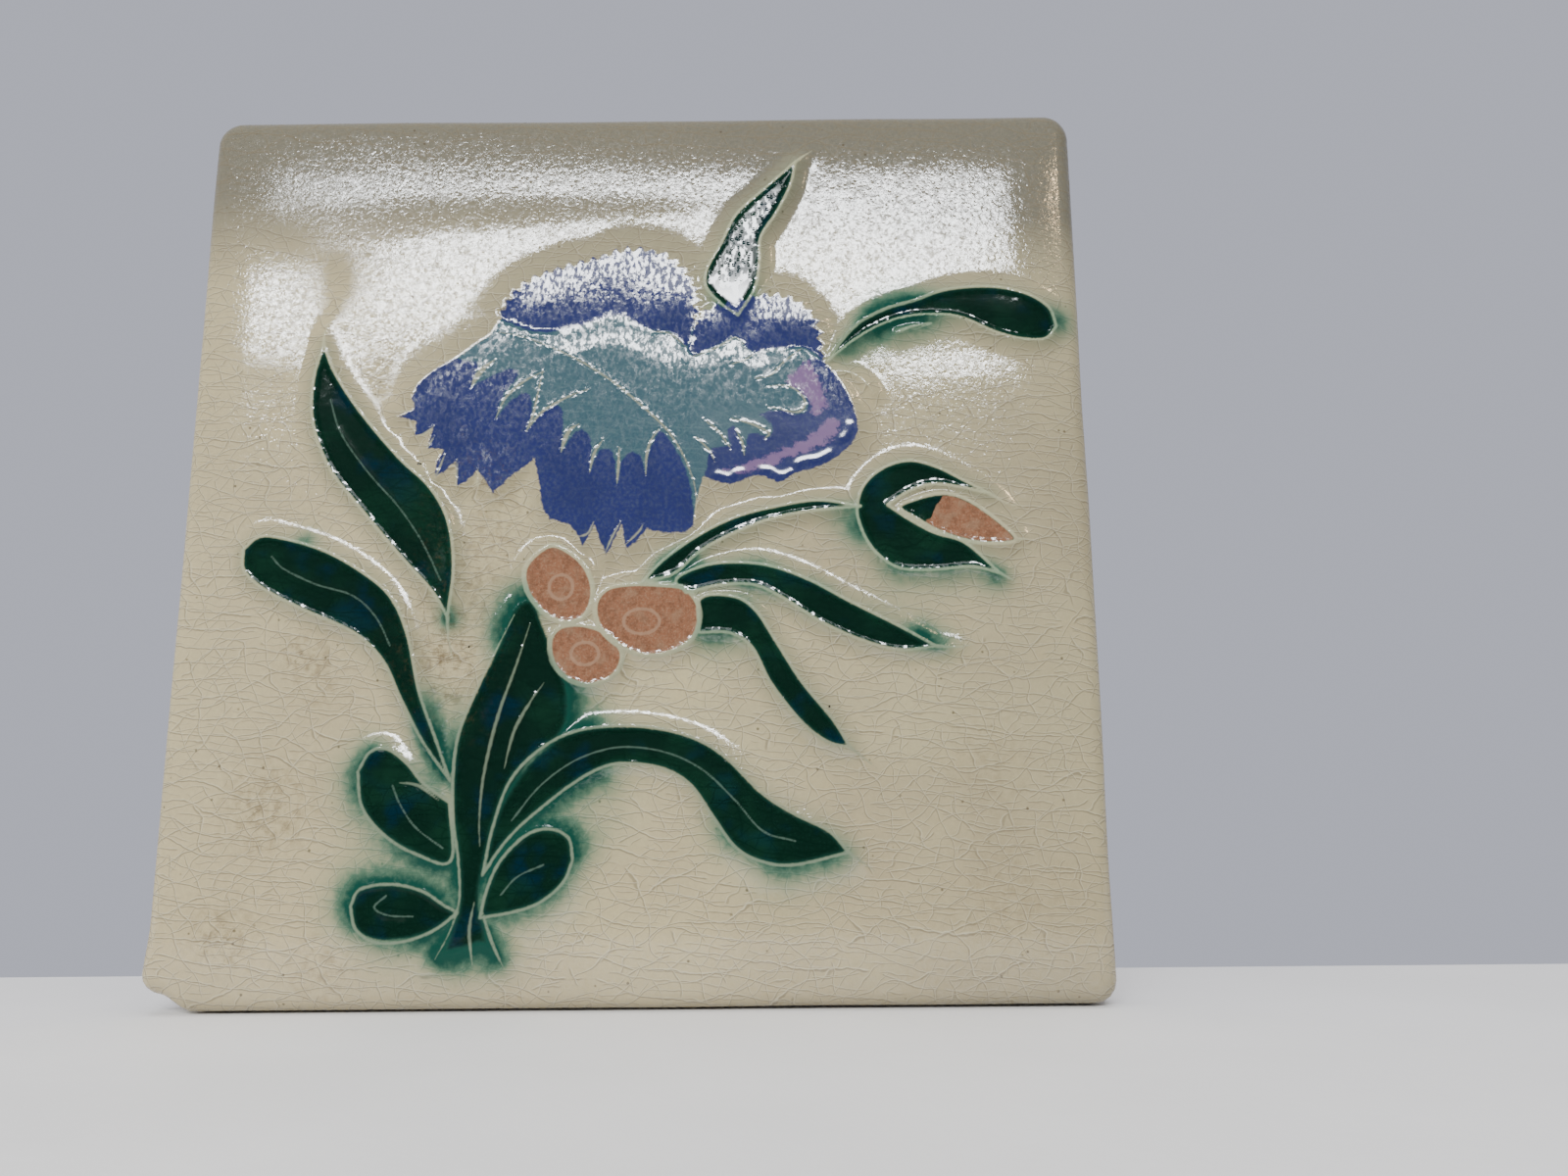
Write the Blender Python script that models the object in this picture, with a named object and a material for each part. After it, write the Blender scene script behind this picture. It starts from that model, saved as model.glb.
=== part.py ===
# Square ceramic tile with a flower spray in low relief, modelled upright.
# X runs to the right, Z up, and the decorated face looks along -Y.
# The origin is the centre of the flat back, where the tile meets its wall.

import math

import bmesh
import bpy
import numpy as np
from mathutils.geometry import delaunay_2d_cdt

# Body of the tile, in metres
TILE_SIDE = 0.1524
THICKNESS = 0.0100
EDGE_ROUND = 0.0030
TOP_CORNER_ROUND = 0.0046
BOTTOM_CORNER_ROUND = 0.0036
BACK_CHAMFER = 0.0010
# The most that the edge's round may take of a corner's
ROUND_SHARE = 0.9
SHARP_ANGLE = 40.0
PILLOW_DROP = 0.0005
PILLOW_WIDTH = 0.0090

# Squashed lower left corner: it flares out sideways and its underside is pushed in
CORNER_FLARE = 0.0008
CORNER_LIFT = 0.0026
FLAW_REACH = 0.0150
LIFT_START = 0.0080
LIFT_END = 0.0030

# Keying grooves in the back
GROOVE_COUNT = 6
GROOVE_WIDTH = 0.0060
GROOVE_DEPTH = 0.0010
GROOVE_PITCH = 0.0220
GROOVE_MARGIN = 0.0120
GROOVE_DRAFT = 0.0006

# Relief, measured from the ground of the face
RIDGE_HEIGHT = 0.0010
FLOOR_HEIGHT = 0.0008
RIB_HEIGHT = 0.0009
RIDGE_WIDTH = 0.0009
LEAF_SLOPE = 0.0026
FLOWER_SLOPE = 0.0034
TOOTH_PITCH = 0.0023
TOOTH_DEPTH = 0.0008
TOOTH_BACK = 0.2
OUTER_FALL = 1.6
INNER_FALL = 1.4
RELIEF_FADE = 0.0030

# The spray is drawn on a square field that is this many units wide
DRAWING_SIDE = 152.4
UNIT = TILE_SIDE / DRAWING_SIDE
# The spray was measured against the tile's outer edge, which lies behind its face. These bring a
# measured place onto the face: a shift, and the shares of the measured X and Z.
FACE_X = (0.35, 0.974, -0.0054)
FACE_Z = (-0.49, -0.0063, 0.980)

# Spacing of the mesh along a ridge, along the tile's sides and over the open ground
RIDGE_STEP = 0.0020
SIDE_STEP = 0.0080
GROUND_STEP = 0.0120
CORNER_STEPS = 6
ROUND_STEPS = 4
CURVE_SAMPLES = 24
RING_STEPS = 8
# Places closer than this are one point; the digits kept when points of two rows are matched
MERGE_GAP = 1e-5
MATCH_DIGITS = 6
# Rows of points beside a ridge, as shares of its slope outside and of its width inside
OUTSIDE_SHARE = 0.45
INSIDE_SHARE = 0.5
# Shares of the pillow's width where ridges end and where the ground has rows of points
RIDGE_FIELD = 0.25
PILLOW_ROWS = (0.33, 1.0)
# How near another ridge a row may come, how far open ground keeps from the slopes, and the least gap
ROW_CLEARANCE = 0.93
GROUND_CLEARANCE = 1.6
PILLOW_CLEARANCE = 1.1
LEAST_GAP = 0.4

COLOUR = (0.46, 0.40, 0.29, 1.0)
ROUGHNESS = 0.12

# Each leaf: one side from base to tip, the other side from tip to base, and its midrib
LEAVES = {
    "upper_left": (
        [(-31.3, -15.0), (-36.9, -7.2), (-44.1, 0.5), (-51.2, 8.7), (-55.8, 17.3), (-56.4, 27.0),
         (-55.0, 33.5)],
        [(-55.0, 33.5), (-49.7, 22.9), (-43.0, 14.8), (-35.9, 8.1), (-31.8, 0.5), (-30.8, -8.0),
         (-31.3, -15.0)],
        [(-53.0, 22.4), (-48.1, 12.7), (-40.5, 4.1), (-35.4, -3.6), (-33.0, -9.0)]),
    "left_paddle": (
        [(-30.2, -41.5), (-34.8, -35.3), (-40.5, -25.0), (-45.6, -18.1), (-55.8, -13.3), (-64.5, -8.3),
         (-66.8, -4.0)],
        [(-66.8, -4.0), (-64.0, -0.8), (-55.8, -2.3), (-46.6, -6.7), (-40.5, -12.3), (-36.9, -22.5),
         (-33.2, -33.6), (-30.2, -41.5)],
        [(-61.4, -5.1), (-51.7, -9.5), (-44.6, -13.6), (-41.0, -19.4)]),
    "base_upper": (
        [(-30.0, -44.5), (-34.4, -42.0), (-39.9, -36.9), (-43.2, -36.6), (-45.4, -40.5)],
        [(-45.4, -40.5), (-43.7, -47.1), (-36.5, -52.5), (-29.6, -54.2), (-30.0, -44.5)],
        [(-39.5, -42.0), (-38.0, -46.0), (-35.0, -49.0), (-31.0, -52.0)]),
    "base_lower": (
        [(-28.6, -62.4), (-34.8, -66.2), (-41.0, -66.8), (-45.0, -63.5), (-45.2, -60.5)],
        [(-45.2, -60.5), (-42.4, -58.2), (-36.5, -58.0), (-31.5, -60.5), (-28.6, -62.4)],
        [(-41.5, -61.0), (-39.0, -62.5), (-36.0, -63.0)]),
    "base_right": (
        [(-24.7, -62.5), (-18.4, -61.8), (-12.1, -58.4), (-9.9, -54.0)],
        [(-9.9, -54.0), (-11.3, -50.2), (-14.5, -49.3), (-20.1, -52.5), (-23.4, -57.5), (-24.7, -62.5)],
        [(-21.4, -59.5), (-18.8, -56.7), (-14.6, -54.8)]),
    "low_sweep": (
        [(-24.6, -56.0), (-17.6, -47.9), (-10.0, -42.0), (-1.6, -38.8), (6.8, -40.7), (12.7, -47.3),
         (19.8, -54.0), (28.0, -54.8), (34.3, -52.7)],
        [(34.3, -52.7), (28.0, -47.9), (18.8, -41.7), (10.6, -35.1), (0.4, -32.7), (-9.8, -34.1),
         (-18.0, -38.8), (-22.2, -46.5), (-24.6, -56.0)],
        [(-20.0, -47.8), (-12.1, -39.9), (-2.8, -36.2), (8.1, -38.4), (16.0, -44.4), (22.0, -50.2),
         (26.0, -51.2)]),
    "right_lower": (
        [(10.4, -17.4), (16.2, -17.8), (21.3, -23.9), (29.0, -33.6), (35.1, -36.2)],
        [(35.1, -36.2), (30.0, -29.0), (22.3, -17.2), (16.5, -11.5), (10.6, -11.6), (10.4, -17.4)],
        []),
    "right_upper": (
        [(8.6, -10.4), (15.7, -9.3), (23.9, -11.1), (32.6, -16.5), (42.2, -20.1), (49.9, -19.6)],
        [(49.9, -19.6), (43.8, -16.2), (31.0, -9.6), (20.8, -5.8), (11.1, -6.0), (6.2, -8.2), (8.6, -10.4)],
        []),
    "bud_stem": (
        [(1.2, -8.6), (5.6, -7.6), (10.6, -3.5), (19.8, 0.9), (27.0, 3.0), (38.0, 4.2)],
        [(38.0, 4.2), (31.0, 5.2), (18.3, 2.9), (8.6, -1.9), (1.2, -8.6)],
        []),
    "top_right": (
        [(33.2, 30.4), (39.5, 35.5), (45.8, 38.1), (53.3, 38.8), (59.6, 37.0), (66.5, 34.4), (71.6, 34.5),
         (73.4, 37.5)],
        [(73.4, 37.5), (70.0, 41.8), (61.4, 43.9), (52.2, 43.0), (45.8, 41.0), (38.5, 37.0), (33.2, 30.4)],
        []),
    "top_spike": (
        [(17.6, 38.8), (20.9, 45.1), (21.5, 53.1), (26.0, 61.0), (27.9, 67.8)],
        [(27.9, 67.8), (19.2, 59.7), (14.2, 51.0), (11.5, 45.5), (14.0, 41.2), (17.6, 38.8)],
        []),
}

# Stalk cluster below the berries, and the raised lines that run up it
STALK = [(-30.6, -68.5), (-28.1, -60.9), (-29.2, -49.2), (-29.7, -38.0), (-25.2, -24.3), (-20.5, -14.4),
         (-17.0, -12.6), (-14.5, -19.5), (-11.6, -27.0), (-13.5, -34.8), (-20.5, -43.0), (-24.2, -55.0),
         (-24.6, -62.0), (-22.5, -68.8), (-26.5, -66.0)]
STALK_LINES = [
    [(-24.9, -52.0), (-24.7, -42.0), (-23.1, -32.3), (-19.3, -21.4), (-17.6, -15.5)],
    [(-21.4, -39.5), (-18.8, -31.1), (-15.3, -25.8)],
]

# Three berries, each an outline with a small ring in it: centre, radius across, radius up
BERRIES = [
    ([(-14.9, -2.4), (-9.8, -5.0), (-7.4, -10.6), (-10.0, -15.6), (-13.9, -15.2), (-18.4, -10.2),
      (-18.4, -5.0)],
     (-12.9, -9.6, 2.0, 2.0)),
    ([(-6.6, -12.2), (-2.1, -9.1), (8.1, -9.8), (10.6, -13.2), (8.6, -19.2), (1.9, -21.2), (-4.6, -17.8)],
     (0.9, -15.5, 3.0, 2.1)),
    ([(-14.2, -18.0), (-9.8, -15.9), (-5.0, -17.6), (-2.0, -21.0), (-5.2, -25.4), (-10.0, -25.8),
      (-14.0, -22.4)],
     (-8.5, -20.8, 2.2, 2.2)),
]

# Bud: the green calyx with its two pointed sepals, and the petal between them
CALYX_OUTER = [(61.1, -7.3), (54.5, -6.4), (44.7, -6.4), (39.0, -2.4), (37.4, 3.0), (40.7, 9.7),
(47.6, 12.0),
               (54.5, 9.4), (59.8, 6.5)]
CALYX_INNER = [[(59.8, 6.5), (53.0, 7.4), (46.4, 6.8), (43.0, 4.3)],
               [(43.0, 4.3), (50.4, -0.4), (56.0, -2.8), (61.1, -7.3)]]
BUD_PETAL = [(45.3, 3.9), (49.9, 5.7), (54.5, 6.0), (59.8, 3.2), (63.9, -1.2), (58.0, -2.0), (51.6, -0.1)]

# Flower: its edge in runs, clockwise from the left end of the back petal.
# A run is drawn smooth, cut with small even teeth, or taken straight from point to point.
FLOWER_EDGE = [
    ("toothed", [(-24.6, 38.4), (-19.8, 44.9), (-11.7, 48.4), (-2.0, 51.0), (5.4, 49.4), (9.7, 43.8),
                 (9.8, 37.0)]),
    ("toothed", [(9.8, 37.0), (13.5, 40.2), (19.0, 41.6), (26.0, 41.6), (30.4, 38.6), (32.2, 30.4)]),
    ("smooth", [(32.2, 30.4), (37.2, 23.2), (37.9, 17.5), (33.8, 12.2), (24.9, 8.2), (18.5, 9.0),
                (11.6, 9.3)]),
    ("smooth", [(11.6, 9.3), (10.1, 5.0), (9.8, 1.1)]),
    ("straight", [(9.8, 1.1), (4.5, -0.4), (1.4, 0.1), (-1.9, -3.0), (-2.7, 1.1), (-5.2, -4.2),
                  (-6.5, -0.8),
                  (-9.0, -2.4), (-10.3, -0.4), (-13.4, 1.6), (-16.2, 4.1), (-17.0, 9.2), (-17.8, 12.7)]),
    ("straight", [(-17.8, 12.7), (-22.6, 8.7), (-24.7, 6.6), (-27.2, 10.2), (-30.8, 8.1), (-31.3, 12.2),
                  (-34.4, 9.7), (-33.3, 14.0), (-36.1, 14.8), (-35.4, 18.1), (-38.3, 16.9), (-38.9, 21.5),
                  (-39.2, 23.6)]),
    ("smooth", [(-39.2, 23.6), (-37.0, 27.6), (-32.2, 31.2), (-26.1, 35.3), (-24.6, 38.4)]),
]

# Raised lines inside the flower
FLOWER_LINES = [
    [(-24.0, 35.5), (-12.8, 31.5), (-1.0, 23.7), (7.6, 13.8), (9.8, 1.1)],
    [(-23.0, 36.3), (-11.7, 36.6), (-2.1, 38.4), (7.0, 33.1), (9.8, 37.0)],
    [(9.2, 30.8), (17.5, 33.6), (20.4, 27.4), (25.2, 29.9), (30.6, 33.0)],
    [(11.6, 9.3), (20.0, 13.0), (29.0, 17.5)],
    [(-28.9, 25.6), (-28.3, 31.0), (-24.0, 35.5)],
    [(-24.0, 21.3), (-19.2, 26.4), (-16.8, 28.0)],
    [(-19.2, 18.1), (-14.9, 22.6), (-10.1, 24.8)],
    [(-13.1, 14.9), (-10.9, 18.3)],
    [(-8.0, 10.8), (-6.0, 15.9)],
    [(-3.4, 8.8), (-3.2, 14.9)],
    [(1.4, 10.6), (3.5, 17.2)],
    [(22.6, 25.3), (25.8, 25.4), (28.9, 22.8), (25.8, 21.0)],
    [(16.1, 19.7), (22.4, 17.4)],
    [(11.3, 19.7), (15.9, 14.9)],
]

# Lines that run on past a tip and sink into the ground
WEDGES = [
    [(-55.0, 33.5), (-56.2, 38.0), (-54.0, 41.0), (-51.2, 39.0)],
    [(-31.3, -15.0), (-31.0, -20.0)],
    [(34.3, -52.7), (39.0, -56.0)],
    [(35.1, -36.2), (39.6, -39.6)],
    [(49.9, -19.6), (56.2, -19.4)],
    [(59.8, 6.5), (66.5, 4.5)],
    [(63.9, -1.2), (67.0, -1.6)],
    [(61.1, -7.3), (64.0, -8.8)],
    [(27.9, 67.8), (30.9, 70.2)],
    [(-30.6, -68.5), (-32.0, -70.5)],
    [(-22.5, -68.8), (-21.0, -71.0)],
]


def clear_scene():
    for thing in list(bpy.data.objects):
        bpy.data.objects.remove(thing, do_unlink=True)


def on_face(points):
    """Measured places brought onto the tile's face."""
    points = np.array(points, dtype=float)
    x, z = points[..., 0], points[..., 1]
    across = FACE_X[0] + FACE_X[1] * x + FACE_X[2] * z
    upward = FACE_Z[0] + FACE_Z[1] * x + FACE_Z[2] * z
    return np.stack([across, upward], axis=-1)


def smooth_curve(points, closed=False):
    """A Catmull-Rom curve through the points, in even steps of about RIDGE_STEP."""
    points = list(on_face(points))
    if closed:
        points = [points[-1]] + points + [points[0], points[1]]
    else:
        points = [2 * points[0] - points[1]] + points + [2 * points[-1] - points[-2]]
    fine = []
    for first, start, end, last in zip(points, points[1:], points[2:], points[3:]):
        for t in np.linspace(0.0, 1.0, CURVE_SAMPLES, endpoint=False):
            bend = (2 * first - 5 * start + 4 * end - last) * t ** 2
            twist = (3 * start - first - 3 * end + last) * t ** 3
            fine.append(0.5 * (2 * start + (end - first) * t + bend + twist))
    fine.append(points[-2])
    return even_steps(fine, RIDGE_STEP / UNIT)


def even_steps(points, step):
    """The same line with points at even distances, its two ends kept."""
    points = np.array(points)
    lengths = np.concatenate([[0.0], np.cumsum(np.linalg.norm(np.diff(points, axis=0), axis=1))])
    count = max(2, int(round(lengths[-1] / step)))
    places = np.linspace(0.0, lengths[-1], count + 1)
    return np.stack([np.interp(places, lengths, points[:, axis]) for axis in (0, 1)], axis=1)


def outward(points):
    """Unit normals to the left of a line's direction."""
    along = np.gradient(points, axis=0)
    along /= np.linalg.norm(along, axis=1)[:, None] + 1e-12
    return np.stack([-along[:, 1], along[:, 0]], axis=1)


def toothed_line(points):
    """Small even teeth cut along a smooth curve."""
    base = even_steps(smooth_curve(points), TOOTH_PITCH / UNIT / 2)
    swing = np.where(np.arange(len(base)) % 2 == 1, 1.0, -TOOTH_BACK)
    swing[[0, -1]] = 0.0
    return base + outward(base) * (swing * TOOTH_DEPTH / UNIT)[:, None]


def straight_line(points):
    """Straight runs from point to point, long ones cut up."""
    points = on_face(points)
    line = [points[0]]
    for start, end in zip(points, points[1:]):
        line.extend(even_steps([start, end], RIDGE_STEP / UNIT)[1:])
    return np.array(line)


def ring(centre_x, centre_y, radius_x, radius_y):
    turns = np.linspace(0.0, 2 * math.pi, RING_STEPS + 1)
    across = centre_x + radius_x * np.cos(turns)
    upward = centre_y + radius_y * np.sin(turns)
    return on_face(np.stack([across, upward], axis=1))


class Line:
    """A raised line: its points, the height at each, and the width of the slope beside it."""

    def __init__(self, points, start, end=None, slope=LEAF_SLOPE):
        self.points = np.array(points)
        self.heights = np.linspace(start, start if end is None else end, len(self.points))
        self.slope = slope / UNIT


def draw_spray():
    """All raised lines of the spray, and the closed outlines of what is raised."""
    lines = []
    outlines = []
    for first_side, second_side, midrib in LEAVES.values():
        outline = np.concatenate([smooth_curve(first_side), smooth_curve(second_side)[1:]])
        outlines.append(outline)
        lines.append(Line(outline, RIDGE_HEIGHT))
        if midrib:
            lines.append(Line(smooth_curve(midrib), RIB_HEIGHT))
    stalk = smooth_curve(STALK, closed=True)
    outlines.append(stalk)
    lines.append(Line(stalk, RIDGE_HEIGHT))
    lines.extend(Line(smooth_curve(points), RIDGE_HEIGHT) for points in STALK_LINES)
    for points, circle in BERRIES:
        outline = smooth_curve(points, closed=True)
        outlines.append(outline)
        lines.append(Line(outline, RIDGE_HEIGHT))
        lines.append(Line(ring(*circle), RIB_HEIGHT))
    calyx = np.concatenate([smooth_curve(CALYX_OUTER)] + [smooth_curve(side)[1:] for side in CALYX_INNER])
    petal = smooth_curve(BUD_PETAL, closed=True)
    outlines.extend([calyx, petal])
    lines.extend([Line(calyx, RIDGE_HEIGHT), Line(petal, RIDGE_HEIGHT)])
    makers = {"toothed": toothed_line, "smooth": smooth_curve, "straight": straight_line}
    edge = np.concatenate([makers[kind](points)[1:] for kind, points in FLOWER_EDGE])
    edge = np.concatenate([edge[-1:], edge])
    outlines.append(edge)
    lines.append(Line(edge, RIDGE_HEIGHT, slope=FLOWER_SLOPE))
    lines.extend(Line(smooth_curve(points), RIDGE_HEIGHT) for points in FLOWER_LINES)
    lines.extend(Line(smooth_curve(points), RIDGE_HEIGHT, end=0.0) for points in WEDGES)
    return lines, outlines


def inside_any(outlines, points):
    """Which points lie inside one of the closed outlines, by counting crossings."""
    result = np.zeros(len(points), dtype=bool)
    for outline in outlines:
        crossed = np.zeros(len(points), dtype=bool)
        for (x0, y0), (x1, y1) in zip(outline, np.roll(outline, -1, axis=0)):
            spans = (y0 > points[:, 1]) != (y1 > points[:, 1])
            if y0 != y1:
                crossed ^= spans & (points[:, 0] < x0 + (points[:, 1] - y0) * (x1 - x0) / (y1 - y0))
        result |= crossed
    return result


class Relief:
    """The height of the spray above the ground at any point of the drawing."""

    def __init__(self, lines, outlines):
        self.outlines = outlines
        self.starts = np.concatenate([line.points[:-1] for line in lines])
        self.ends = np.concatenate([line.points[1:] for line in lines])
        self.start_heights = np.concatenate([line.heights[:-1] for line in lines])
        self.end_heights = np.concatenate([line.heights[1:] for line in lines])
        self.slopes = np.concatenate([np.full(len(line.points) - 1, line.slope) for line in lines])

    def to_lines(self, points):
        """Distance from each point to each piece of line, and the line's height there."""
        along = self.ends - self.starts
        length2 = np.maximum((along ** 2).sum(axis=1), 1e-12)
        away = points[:, None, :] - self.starts[None]
        share = np.clip((away * along[None]).sum(axis=2) / length2, 0.0, 1.0)
        distance = np.linalg.norm(away - share[:, :, None] * along[None], axis=2)
        return distance, self.start_heights + share * (self.end_heights - self.start_heights)

    def height(self, points):
        distance, crest = self.to_lines(points)
        outer = (crest * np.clip(1.0 - distance / self.slopes, 0.0, 1.0) ** OUTER_FALL).max(axis=1)
        ridge = np.clip(1.0 - distance * UNIT / RIDGE_WIDTH, 0.0, 1.0) ** INNER_FALL
        inner = FLOOR_HEIGHT + (np.maximum(crest - FLOOR_HEIGHT, 0.0) * ridge).max(axis=1)
        to_rim = TILE_SIDE / 2 - EDGE_ROUND - np.abs(points).max(axis=1) * UNIT
        return np.where(inside_any(self.outlines, points), inner, outer) * eased(to_rim / RELIEF_FADE)


def plan_outline(inset):
    """The tile's outline seen from the front, counterclockwise, moved in by the inset."""
    half = TILE_SIDE / 2
    points = []
    corners = [(1, -1, BOTTOM_CORNER_ROUND, -90), (1, 1, TOP_CORNER_ROUND, 0),
               (-1, 1, TOP_CORNER_ROUND, 90), (-1, -1, BOTTOM_CORNER_ROUND, 180)]
    side_count = max(2, int(round(TILE_SIDE / SIDE_STEP)))
    arcs = []
    for sign_x, sign_z, radius, start in corners:
        centre = np.array([sign_x * (half - radius), sign_z * (half - radius)])
        turns = np.radians(start + np.linspace(0.0, 90.0, CORNER_STEPS + 1))
        arcs.append(centre + (radius - inset) * np.stack([np.cos(turns), np.sin(turns)], axis=1))
    for arc, following in zip(arcs, arcs[1:] + arcs[:1]):
        points.extend(arc)
        shares = 0.5 - 0.5 * np.cos(math.pi * np.arange(1, side_count) / side_count)
        points.extend(arc[-1] + share * (following[0] - arc[-1]) for share in shares)
    return np.array(points)


def squashed(points):
    """Moves plan points near the lower left corner as the clay was pushed there."""
    half = TILE_SIDE / 2
    points = np.array(points, dtype=float)
    from_left = points[:, 0] + half
    from_bottom = points[:, 1] + half
    near = eased(1.0 - from_bottom / FLAW_REACH) * eased(1.0 - from_left / FLAW_REACH)
    points[:, 0] -= CORNER_FLARE * near
    points[:, 1] += CORNER_LIFT * eased((LIFT_START - from_left) / (LIFT_START - LIFT_END)) * eased(
        1.0 - from_bottom / FLAW_REACH)
    return points


def eased(share):
    share = np.clip(share, 0.0, 1.0)
    return share * share * (3.0 - 2.0 * share)


def ground_height(points, rim):
    """Depth of the pillowed ground, from the distance to the rim of the face."""
    starts = rim
    along = np.roll(rim, -1, axis=0) - rim
    away = points[:, None, :] - starts[None]
    share = np.clip((away * along).sum(axis=2) / (along ** 2).sum(axis=1), 0.0, 1.0)
    distance = np.linalg.norm(away - share[:, :, None] * along, axis=2).min(axis=1)
    return -PILLOW_DROP * np.clip(1.0 - distance / PILLOW_WIDTH, 0.0, 1.0) ** 2


def sample_points(lines, relief, rim):
    """Points for the face's mesh beside the ridges and over the ground, none of them crowded."""
    rows_outside = (LEAF_SLOPE * OUTSIDE_SHARE / UNIT, LEAF_SLOPE / UNIT, FLOWER_SLOPE / UNIT)
    rows_inside = (RIDGE_WIDTH / UNIT, RIDGE_WIDTH * INSIDE_SHARE / UNIT)
    wanted = []
    for line in lines:
        normals = outward(line.points)
        for side in (-1.0, 1.0):
            probe = line.points + normals * side * INSIDE_SHARE * RIDGE_WIDTH / UNIT
            within = inside_any(relief.outlines, probe)
            for rows, chosen in ((rows_inside, within), (rows_outside, ~within)):
                for row in rows:
                    places = (line.points + normals * side * row)[chosen]
                    wanted.append((row, places))
    kept = []
    for row, places in wanted:
        if len(places):
            distance = relief.to_lines(places)[0].min(axis=1)
            kept.extend(places[distance > ROW_CLEARANCE * row])
    count = int(TILE_SIDE / GROUND_STEP)
    marks = (np.arange(count) + 0.5 - count / 2) * GROUND_STEP / UNIT
    grid = np.array([(x, y) for x in marks for y in marks])
    clear = relief.to_lines(grid)[0].min(axis=1) > GROUND_CLEARANCE * FLOWER_SLOPE / UNIT
    kept.extend(grid[clear])
    closed_rim = rim / UNIT
    kept = np.array(kept)
    kept = kept[inside_any([closed_rim], kept)]
    return thinned(kept, LEAST_GAP * RIDGE_STEP / UNIT)


def thinned(points, least):
    """Drops points that are closer than the least distance to an earlier one."""
    cells = {}
    kept = []
    for point in points:
        cell = tuple(np.floor(point / least).astype(int))
        beside = [(cell[0] + dx, cell[1] + dy) for dx in (-1, 0, 1) for dy in (-1, 0, 1)]
        near = [other for key in beside for other in cells.get(key, [])]
        if all(np.linalg.norm(point - other) >= least for other in near):
            cells.setdefault(cell, []).append(point)
            kept.append(point)
    return np.array(kept)


def triangulate(points, edges, boundary):
    """Constrained Delaunay triangles, without those outside the boundary."""
    flat = [tuple(point) for point in points]
    found, _, triangles, *_ = delaunay_2d_cdt(flat, edges, [], 0, MERGE_GAP)
    found = np.array([tuple(point) for point in found])
    triangles = np.array([tuple(triangle) for triangle in triangles])
    centres = found[triangles].mean(axis=1)
    return found, triangles[inside_any([boundary], centres)]


def face_mesh(rim):
    """The decorated face: flat points with their heights, and its triangles."""
    lines, outlines = draw_spray()
    relief = Relief(lines, outlines)
    rim_drawing = rim / UNIT
    points = list(rim_drawing)
    edges = [(index, (index + 1) % len(rim)) for index in range(len(rim))]
    field = plan_outline(EDGE_ROUND + RIDGE_FIELD * PILLOW_WIDTH) / UNIT
    for line in lines:
        inside = inside_any([field], line.points)
        start = len(points)
        points.extend(line.points)
        for index in range(len(line.points) - 1):
            if inside[index] and inside[index + 1]:
                edges.append((start + index, start + index + 1))
    loose = sample_points(lines, relief, rim)
    for share in PILLOW_ROWS:
        row = plan_outline(EDGE_ROUND + share * PILLOW_WIDTH) / UNIT
        clear = relief.to_lines(row)[0].min(axis=1) > PILLOW_CLEARANCE * FLOWER_SLOPE / UNIT
        loose = np.concatenate([loose, row[clear]])
    points.extend(loose)
    points = np.array(points)
    in_field = inside_any([rim_drawing], points)
    in_field[:len(rim)] = True
    order = np.cumsum(in_field) - 1
    edges = [(int(order[a]), int(order[b])) for a, b in edges if in_field[a] and in_field[b]]
    flat, triangles = triangulate(points[in_field], edges, rim_drawing)
    flat_metres = flat * UNIT
    heights = relief.height(flat) + ground_height(flat_metres, rim)
    return flat_metres, heights, triangles


def add_row(mesh, plan, depth):
    return [mesh.verts.new((x, -depth, z)) for x, z in squashed(plan)]


def bridge(mesh, front_row, back_row):
    """A band of faces between two rows that hold the same number of points."""
    for index, start in enumerate(front_row):
        following = (index + 1) % len(front_row)
        mesh.faces.new((start, back_row[index], back_row[following], front_row[following]))


def build_back(mesh, rim_row, plan):
    """The flat back with its keying grooves pressed in."""
    points = list(plan)
    edges = [(index, (index + 1) % len(plan)) for index in range(len(plan))]
    half_length = TILE_SIDE / 2 - GROOVE_MARGIN
    grooves = []
    for number in range(GROOVE_COUNT):
        middle = (number - (GROOVE_COUNT - 1) / 2) * GROOVE_PITCH
        low, high = middle - GROOVE_WIDTH / 2, middle + GROOVE_WIDTH / 2
        corners = [(-half_length, low), (half_length, low), (half_length, high), (-half_length, high)]
        start = len(points)
        points.extend(corners)
        edges.extend((start + index, start + (index + 1) % 4) for index in range(4))
        grooves.append(np.array(corners))
    scale = 1.0 / UNIT
    flat, triangles = triangulate(np.array(points) * scale, edges, plan * scale)
    flat = flat / scale
    row_index = {}
    for vertex, (x, z) in zip(rim_row, plan):
        row_index[tuple(np.round((x, z), MATCH_DIGITS))] = vertex
    vertices = []
    for x, z in flat:
        key = tuple(np.round((x, z), MATCH_DIGITS))
        vertices.append(row_index[key] if key in row_index else mesh.verts.new((x, 0.0, z)))
    faces = []
    for a, b, c in triangles:
        faces.append(mesh.faces.new((vertices[c], vertices[b], vertices[a])))
    middles = np.array([np.mean([flat[index] for index in triangle], axis=0) for triangle in triangles])
    for corners in grooves:
        chosen = [face for face, within in zip(faces, inside_any([corners], middles)) if within]
        sunk = bmesh.ops.extrude_face_region(mesh, geom=chosen)
        bmesh.ops.delete(mesh, geom=chosen, context="FACES_ONLY")
        centre = corners.mean(axis=0)
        for vertex in (item for item in sunk["geom"] if isinstance(item, bmesh.types.BMVert)):
            vertex.co.y -= GROOVE_DEPTH
            vertex.co.x -= math.copysign(GROOVE_DRAFT, vertex.co.x - centre[0])
            vertex.co.z -= math.copysign(GROOVE_DRAFT, vertex.co.z - centre[1])


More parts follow.
